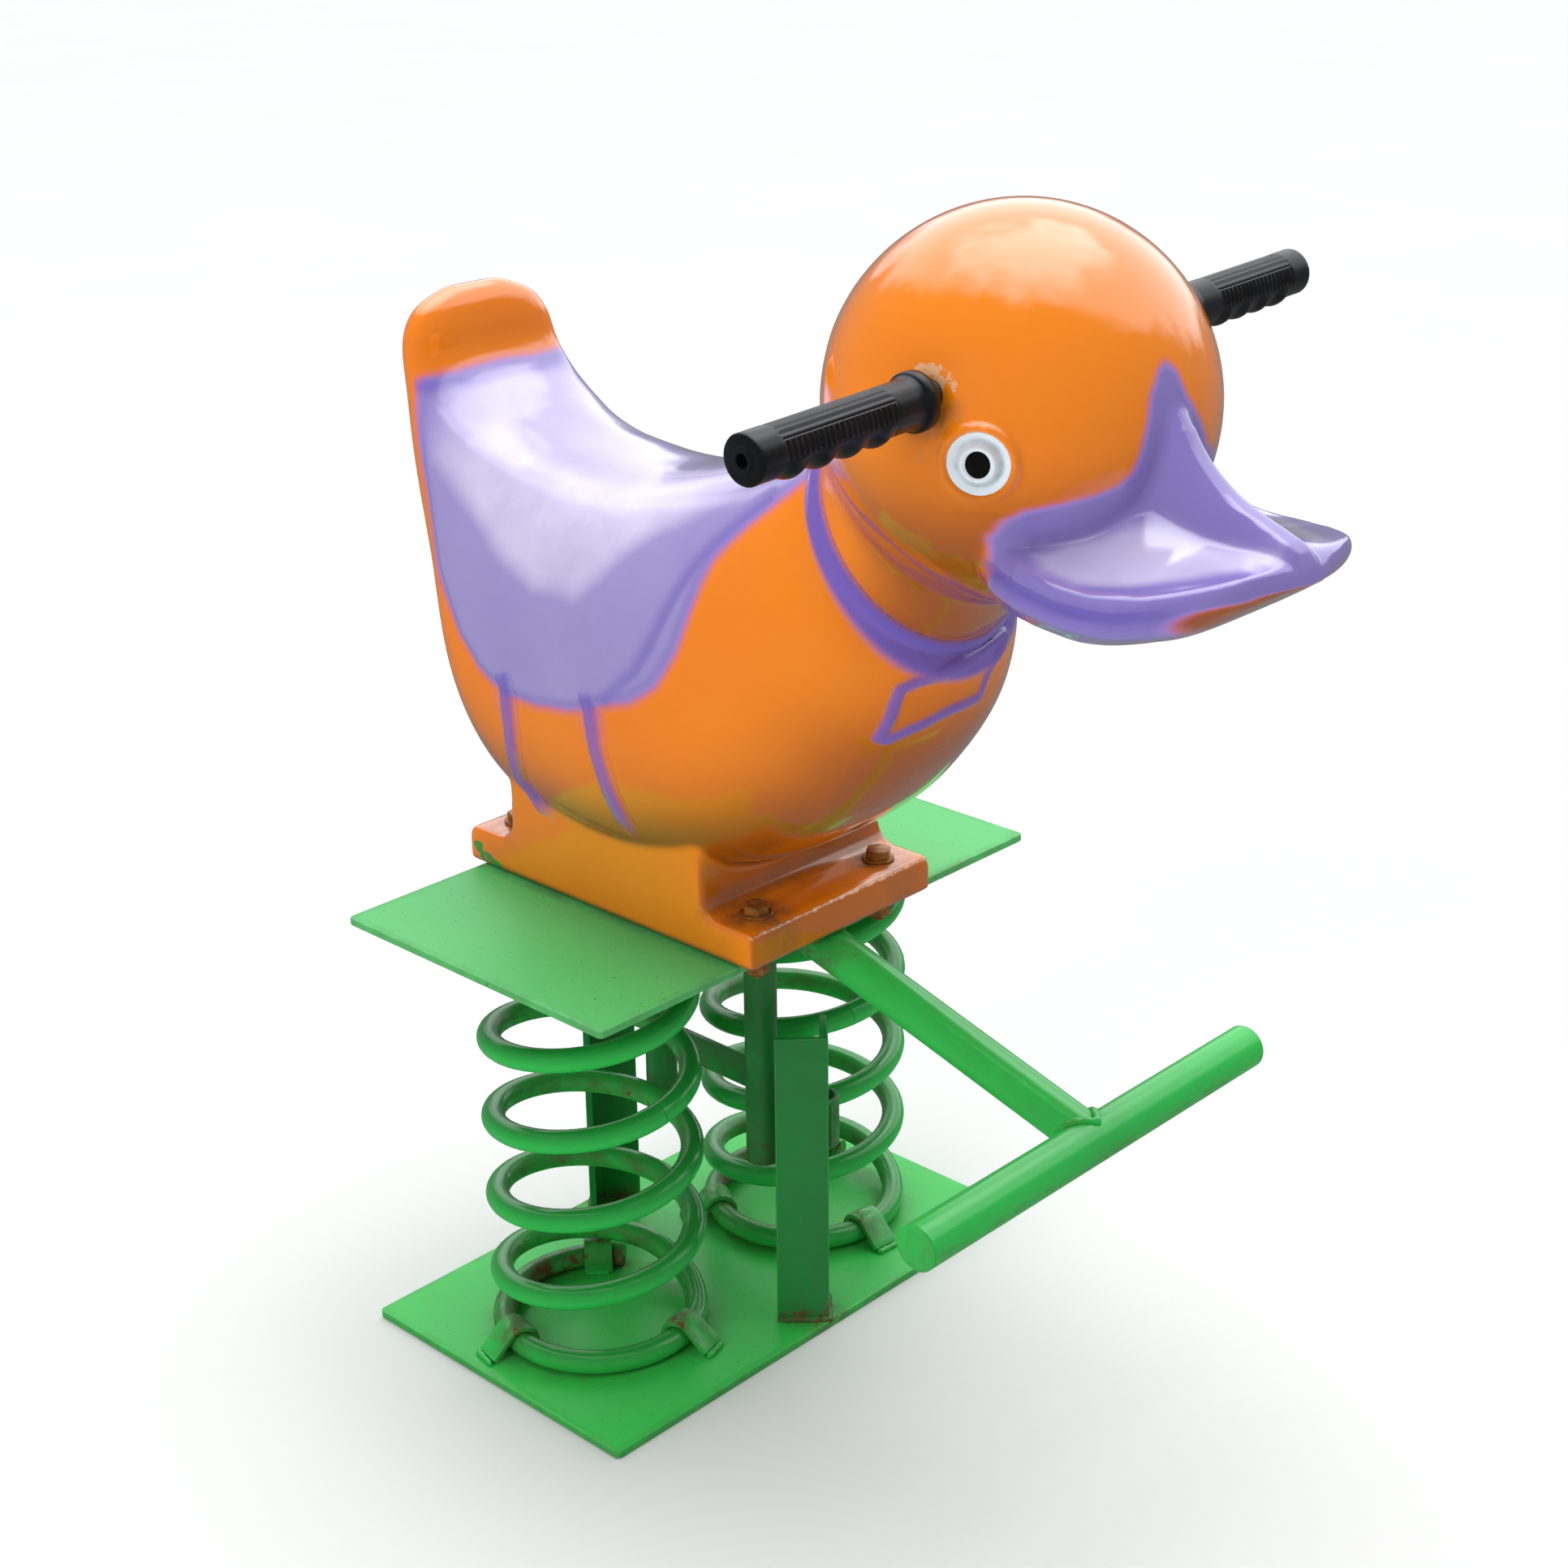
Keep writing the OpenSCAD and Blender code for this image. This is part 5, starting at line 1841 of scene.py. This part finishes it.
        return {"purple": np.maximum(seat, bill), "trim": np.maximum.reduce(lines), "ember": ember,
                "faded": self.rubbed(spots, up, wander, seat, bill), **self.wear(spots)}

    def rubbed(self, spots: np.ndarray, up: np.ndarray, wander: np.ndarray, seat: np.ndarray,
               bill: np.ndarray) -> np.ndarray:
        """Works out where the purple is made pale: partly rubbed paint, partly painted sheen on faces that
        look up.

        Args:
            spots: Vertices, one a row.
            up: Upward part of their normals.
            wander: How far an edge strays at each vertex.
            seat: Mask of the seat's purple.
            bill: Mask of the bill's purple.

        Returns:
            Values of zero to one.
        """
        _, y, high = spots.T
        full = ease(0.6, 1.0, seat)
        # painted sheen, partly rubbed paint: paler purple over the seat (less on the flattest tops) and on
        # the dish's upward faces
        faded = ease(-12, 16, signed_gap(spots[:, 1:], self.seat_wear_and_sheen) + wander) * full
        faded *= (0.85 - 0.45 * ease(640, 690, high)) * (1 - 0.55 * ease(0.86, 0.98, up))
        plan = np.stack([np.abs(spots[:, 0]), y], axis=1)
        dish = ease(-5, 9, signed_gap(plan, self.dish_wear_and_sheen) + wander) * ease(0.3, 0.7, up)
        return np.maximum.reduce([faded, 0.22 * full, 0.72 * dish * ease(0.6, 1.0, bill)])

    def wear(self, spots: np.ndarray) -> dict[str, np.ndarray]:
        """Works out where the skin is dirty, scuffed or chipped.

        Args:
            spots: Vertices, one a row.

        Returns:
            Mask name to values of zero to one.
        """
        x, y, high = spots.T
        reach, thick = self.flange
        corner = np.hypot(np.abs(y) - self.pedestal[1] - 6, high - self.deck - thick - 5)
        top_edge = np.hypot(np.abs(y) - reach + 2, high - self.deck - thick + 2)
        grime = [0.4 * ease(16, 2, corner), 0.7 * ease(348, 344, high)]
        scuff = [0.46 * ease(5, 1, top_edge)]
        for bolt_x in (-self.bolts[0], self.bolts[0]):
            for bolt_y in (-self.bolts[1], self.bolts[1]):
                away = np.hypot(x - bolt_x, y - bolt_y)
                grime.append(ease(36, 12, away) * ease(380, 374, high) * 0.95)
        for side in Side:
            root_x, root_y, root_z = self.grip_root
            off = spots - np.array([side.value * root_x, root_y, root_z + side.value * self.grip_rise])
            ring = np.hypot(off[:, 1], off[:, 2])
            near = ease(45, 30, np.abs(off[:, 0]))
            scuff.append(0.5 * ease(23, 19, ring) * ease(-4, 8, off[:, 2]) * near)
            grime.append(0.8 * ease(28, 18, ring) * ease(6, -10, off[:, 2]) * near)
        chip = []
        for place_y, place_z, long in self.chips:
            off = (spots - np.array([self.chip_side, place_y, place_z])) * np.array([0.6, 9.0 / long, 1.3])
            chip.append(0.62 * ease(10, 4, np.linalg.norm(off, axis=1)))
        return {"grime": np.maximum.reduce(grime), "scuff": np.maximum.reduce(scuff),
                "chip": np.maximum.reduce(chip)}

    def build(self) -> None:
        """Makes both halves, each with its head cast and its body cast."""
        for cast, name, keep in ((self.lower_cast, "body", -1.0), (self.upper_cast, "head", 1.0)):
            whole = made_mesh(cast(), "whole_duck")
            spots, outward = (np.empty(len(whole.vertices) * 3, np.float32) for _ in range(2))
            whole.vertices.foreach_get("co", spots)
            whole.vertex_normals.foreach_get("vector", outward)
            spots, outward = (values.reshape(-1, 3).astype(float) for values in (spots, outward))
            moved = spots + outward * self.relief(spots)[:, None]
            moved[:, 2] = np.maximum(moved[:, 2], self.deck + 0.05)
            whole.vertices.foreach_set("co", moved.astype(np.float32).ravel())
            whole.update()
            for mask, values in self.paint(spots, outward).items():
                layer = whole.attributes.new(mask, "FLOAT", "POINT")
                layer.data.foreach_set("value", values.astype(np.float32))
            for side in Side:
                self.half(whole, name, side, keep)
            bpy.data.meshes.remove(whole)

    def half(self, whole: Mesh, name: str, side: Side, keep: float) -> None:
        """Cuts one half of a cast at the collar and along the seam, and closes it.

        Args:
            whole: The cast's skin in millimetres.
            name: Name of the cast.
            side: Side to keep.
            keep: One to keep what is above the collar's cut, minus one to keep what is below.
        """
        bm = bmesh.new()
        bm.from_mesh(whole)
        axis = Vector(self.neck_axis)
        for spot, normal in ((Vector(self.neck) + axis * self.neck_cut, axis * -keep),
                             (Vector((0, 0, 0)), Vector((-side.value, 0, 0)))):
            bmesh.ops.edgeloop_fill(bm, edges=cut_across(bm, spot, normal, dist=0.01, clear_outer=True))
        place_piece(bm, f"{side.label}_{name}_cast", self.finish, Body.ROCKER,
                    [f"{side.label}_shell"], sharp=60.0)


@dataclass
class DuckEyes:
    """Bowl-shaped white eyes with a raised cone that holds the pupil."""

    shell: DuckShell
    bowl: float = 19.0
    cone: float = 12.0
    pupil: float = 8.5

    def build(self) -> None:
        """Makes both eyes."""
        white = EyeEnamel().material()
        black = EyeEnamel("pupil_black_enamel", "#030303", "#060607", 0.3).material()
        for side in Side:
            middle, out, across, up = (Vector(v) for v in self.shell.eye_frame(side))
            turn = Matrix((across, up, out)).transposed().to_4x4()
            place = Matrix.Translation(middle) @ turn
            bm = bmesh.new()
            bowl, cone, hole = self.bowl, self.cone, self.pupil
            dish = [(bowl + 1.2, -6.0), (bowl + 1.2, -1.6), (bowl - 0.6, -1.2), (bowl - 2.6, -2.4),
                    (15.4, -2.9), (13.9, -2.5), (cone, -1.2), (cone - 1.0, 0.7), (hole + 1.8, 1.8),
                    (hole + 1.1, 2.0), (hole + 0.5, 1.7), (hole, 1.1), (0.0, 0.4), (0.0, -6.0),
                    (bowl + 1.2, -6.0)]
            spun(bm, dish, place, 64)
            # the grime layer here holds painted shade in the trough round the cone's foot
            grime_layer(bm, lambda p: 1.0 - abs((p - middle).length - 13.5) / 3.5)
            place_piece(bm, f"{side.label}_eye_bowl", white, Body.ROCKER, sharp=50)
            bm = bmesh.new()
            drop = [(0.0, 2.3), (hole * 0.4, 2.1), (hole * 0.72, 1.7), (hole * 0.93, 1.1), (hole, 0.4),
                    (0.0, 0.2)]
            oval = place @ Matrix.Scale(0.95, 4, (1, 0, 0)) @ Matrix.Scale(1.05, 4, (0, 1, 0))
            spun(bm, drop, oval, 48)
            grime_layer(bm, lambda p: 0.3)
            place_piece(bm, f"{side.label}_eye_pupil", black, Body.ROCKER, sharp=50)


@dataclass
class GripPair:
    """Ribbed rubber grips on the ends of the handlebar."""

    finish: Material
    centre: Point = (0.0, -322.0, 788.0)
    tilt: float = 2.5
    start: float = 126.1
    bar_end: float = 264.0
    shift: float = 5.0
    end: float = 4.0
    radius: float = 15.3
    flange: float = 18.5
    bar: float = 11.0
    flange_wide: float = 9.0
    collar: float = 32.0
    end_band: float = 19.0
    sides: int = 96
    ring_step: float = 0.9

    def build(self) -> None:
        """Makes both grips."""
        for side in Side:
            bm = bmesh.new()
            self.grip(bm, side)
            place_piece(bm, f"{side.label}_ribbed_grip", self.finish, Body.ROCKER,
                        [f"{side.label}_grip"], sharp=45)

    def swell(self, angle: float, along: float, length: float) -> float:
        """Gives the grip's radius at a spot.

        Args:
            angle: Angle from the top, radians.
            along: Distance from the flange's inner face.
            length: Length of the grip.

        Returns:
            Radius in millimetres.
        """
        if along < self.flange_wide:
            return self.flange - 0.9 * max(0.0, abs(along - 4.5) - 3.0)
        collar, band = self.collar, length - self.end_band
        body = max(0.0, min(1.0, (along - collar) / 2.0)) * max(0.0, min(1.0, (band - along) / 2.0))
        neck = max(0.0, 1.0 - (along - self.flange_wide) / 6.0)
        radius = self.radius + 1.6 * neck * neck
        turn = abs(remainder(angle, 2 * pi))
        if turn < 0.95:
            radius -= body * 0.9 * (0.5 - 0.5 * cos(turn / 0.95 * 3.5 * 2 * pi))
        elif turn < 1.75:
            edge = min(1.0, (turn - 0.95) / 0.1, (1.75 - turn) / 0.1)
            radius -= body * (0.55 + 0.55 * cos(2 * pi * (along - collar) / 4.4)) * edge
        else:
            low = min(1.0, (turn - 1.75) / 0.5)
            wave = cos(2 * pi * (along - collar) / ((band - collar) / 4.0))
            radius += body * low * (1.1 - 1.5 * wave)
        return radius

    def grip(self, bm: BMesh, side: Side) -> None:
        """Lofts one grip from its flange to its closed end.

        Args:
            bm: Mesh that takes the grip.
            side: Side of the handlebar.
        """
        tilt = radians(self.tilt)
        along = Vector((cos(tilt), 0, sin(tilt))) * side.value
        up = Vector((-sin(tilt), 0, cos(tilt)))
        ahead = along.cross(up)
        foot = Vector(self.centre) + along * self.start
        length = self.bar_end + self.end - self.start - side.value * self.shift

        def ring(distance: float, radius: Callable[[float], float]) -> list[Vector]:
            """Gives one ring of the grip."""
            return [foot + along * distance + radius(a) * (cos(a) * up + sin(a) * ahead)
                    for a in circle(self.sides)]

        rings = [ring(0.4, lambda a: self.bar + 0.2), ring(0.0, lambda a: self.flange - 2.4),
                 ring(0.3, lambda a: self.flange - 1.0)]
        step = self.ring_step
        steps = [1.2, 4.5, 7.8, 8.8] + [9.2 + i * step for i in range(int((length - 12.0) / step))]
        rings += [ring(s, lambda a, s=s: self.swell(a, s, length)) for s in steps]
        rim = self.radius + 0.1
        closed_end = [(1.6, rim), (0.6, rim - 0.6), (0.1, rim - 1.8), (0.0, rim - 3.2), (0.2, 8.2),
                      (-0.6, 7.6), (-0.8, 6.8), (-0.8, 5.0), (-0.4, 4.4), (6.0, 4.0)]
        rings += [ring(length - back, lambda a, r=radius: r) for back, radius in closed_end]
        loft(bm, rings)


@dataclass
class FlangeBolts:
    """Bolts, washers and nuts that hold the pedestal to the upper plate."""

    finish: Material
    places: tuple[float, float] = (65.0, 125.0)
    flats: float = 17.0
    head: float = 6.4
    nut: float = 8.4
    shank: float = 5.0
    washer: float = 12.0
    washer_thick: float = 2.0
    flange_top: float = 371.0
    deck_under: float = 337.0
    tail: float = 4.0
    pitch: float = 1.5
    hole: float = 5.5

    def spots(self) -> list[tuple[float, float]]:
        """Lists the four bolt places."""
        x, y = self.places
        return [(a * x, b * y) for a in (-1, 1) for b in (-1, 1)]

    def build(self) -> None:
        """Makes the bolts, the washers and the nuts."""
        bolts, washers, nuts = bmesh.new(), bmesh.new(), bmesh.new()
        for i, (x, y) in enumerate(self.spots()):
            seat = self.flange_top + self.washer_thick
            spin = radians(17 + 23 * i)
            self.hexagon(bolts, (x, y, seat), self.head, spin, 1)
            under = self.deck_under - self.washer_thick - self.nut
            low = under - self.tail
            shank, pitch = self.shank, self.pitch
            thread = [(0.0, low), (shank - 1.2, low)]
            for n in range(int((seat - low) / pitch)):
                thread += [(shank - 0.75, low + 0.4 + n * pitch),
                           (shank - 0.05, low + 0.4 + (n + 0.5) * pitch)]
            thread += [(shank - 0.4, seat), (0.0, seat)]
            spun(bolts, thread, Matrix.Translation((x, y, 0)), 20)
            for z in (self.flange_top, self.deck_under - self.washer_thick):
                rim, hole, thick = self.washer, self.hole, self.washer_thick
                ring = [(hole, 0.2), (hole + 0.3, 0), (rim - 0.4, 0), (rim, 0.4), (rim, thick - 0.4),
                        (rim - 0.4, thick), (hole + 0.3, thick), (hole, thick - 0.2), (hole, 0.2)]
                spun(washers, ring, Matrix.Translation((x, y, z)), 40)
            self.hexagon(nuts, (x, y, under), self.nut, spin + 0.4, 0)
        for bm, name, node in ((bolts, "hex_bolts", "flange_bolts"),
                               (washers, "plain_washers", "flange_washers"),
                               (nuts, "hex_nuts", "flange_nuts")):
            place_piece(bm, name, self.finish, Body.ROCKER, [node], sharp=30)

    def hexagon(self, bm: BMesh, foot: Point, height: float, spin: float, crown: int) -> None:
        """Makes a hexagon with chamfered corners.

        Args:
            bm: Mesh that takes the hexagon.
            foot: Middle of its underside.
            height: Its height.
            spin: Its turn about the upright axis.
            crown: One for a bolt head, whose top is drawn in, or zero for a nut.
        """
        before = set(bm.verts)
        size = self.flats / 2 / cos(pi / 6)
        verts = bmesh.ops.create_cone(bm, cap_ends=True, segments=6, radius1=size, radius2=size,
                                      depth=height)["verts"]
        bmesh.ops.translate(bm, vec=(0, 0, height / 2), verts=verts)
        edges = [e for e in bm.edges if e.verts[0] not in before and len(e.link_faces) == 2
                 and (e.verts[0].co.z > height - 0.01 or not crown)
                 and abs(e.verts[0].co.z - e.verts[1].co.z) < 0.01]
        rounded(bm, edges, 0.9)
        upright = [e for e in bm.edges if e.verts[0] not in before
                   and abs(e.verts[0].co.z - e.verts[1].co.z) > 0.6 * height]
        rounded(bm, upright, 0.5)
        place = Matrix.Translation(foot) @ Matrix.Rotation(spin, 4, "Z")
        bmesh.ops.transform(bm, matrix=place, verts=added(bm, before))


def main() -> None:
    """Builds the rider, its camera and its studio."""
    logging.basicConfig(level=logging.INFO, format="%(name)s %(message)s")
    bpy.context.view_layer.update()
    PhotoCamera().build()
    Studio().build()
    steel = EnamelledSteel().material()
    lower = EnamelledSteel("sunlit_enamel_on_plate", "#39C050", "#2EAE49", gloss=0.32, shine=0.3,
                           grit=0.5).material()
    upper = EnamelledSteel("dusty_enamel_on_plate", "#5BC26C", "#48B660", "#7CC489", gloss=0.42, shine=0.3,
                           grit=0.7).material()
    # painted shade: a darker copy of the green enamel for the posts, the sleeve and the hanging frame, which
    # stand in the upper plate's shadow
    darker_copy_for_shade = EnamelledSteel("shade_painted_enamel_on_posts", "#158A3B", "#0E7833", "#3FA457",
                               gloss=0.34).material()
    SteelPlates(lower, upper).build()
    StopPosts(darker_copy_for_shade).build()
    CoilSpring(steel, Side.RIGHT, 295.0, 10.0).build()
    CoilSpring(steel, Side.LEFT, 279.0, 14.0).build()
    HangingFrame(darker_copy_for_shade).build()
    Footrest(steel).build()
    shell = DuckShell(AirbrushedGelcoat().material())
    shell.build()
    DuckEyes(shell).build()
    GripPair(MouldedRubber().material()).build()
    FlangeBolts(StainedZinc().material()).build()
    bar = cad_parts["handlebar"]
    bar.data.materials.clear()
    bar.data.materials.append(EnamelledSteel("grimy_bar_steel", "#2B2E2A", "#1D1F1D", "#3C403B").material())


if __name__ == "__main__":
    main()
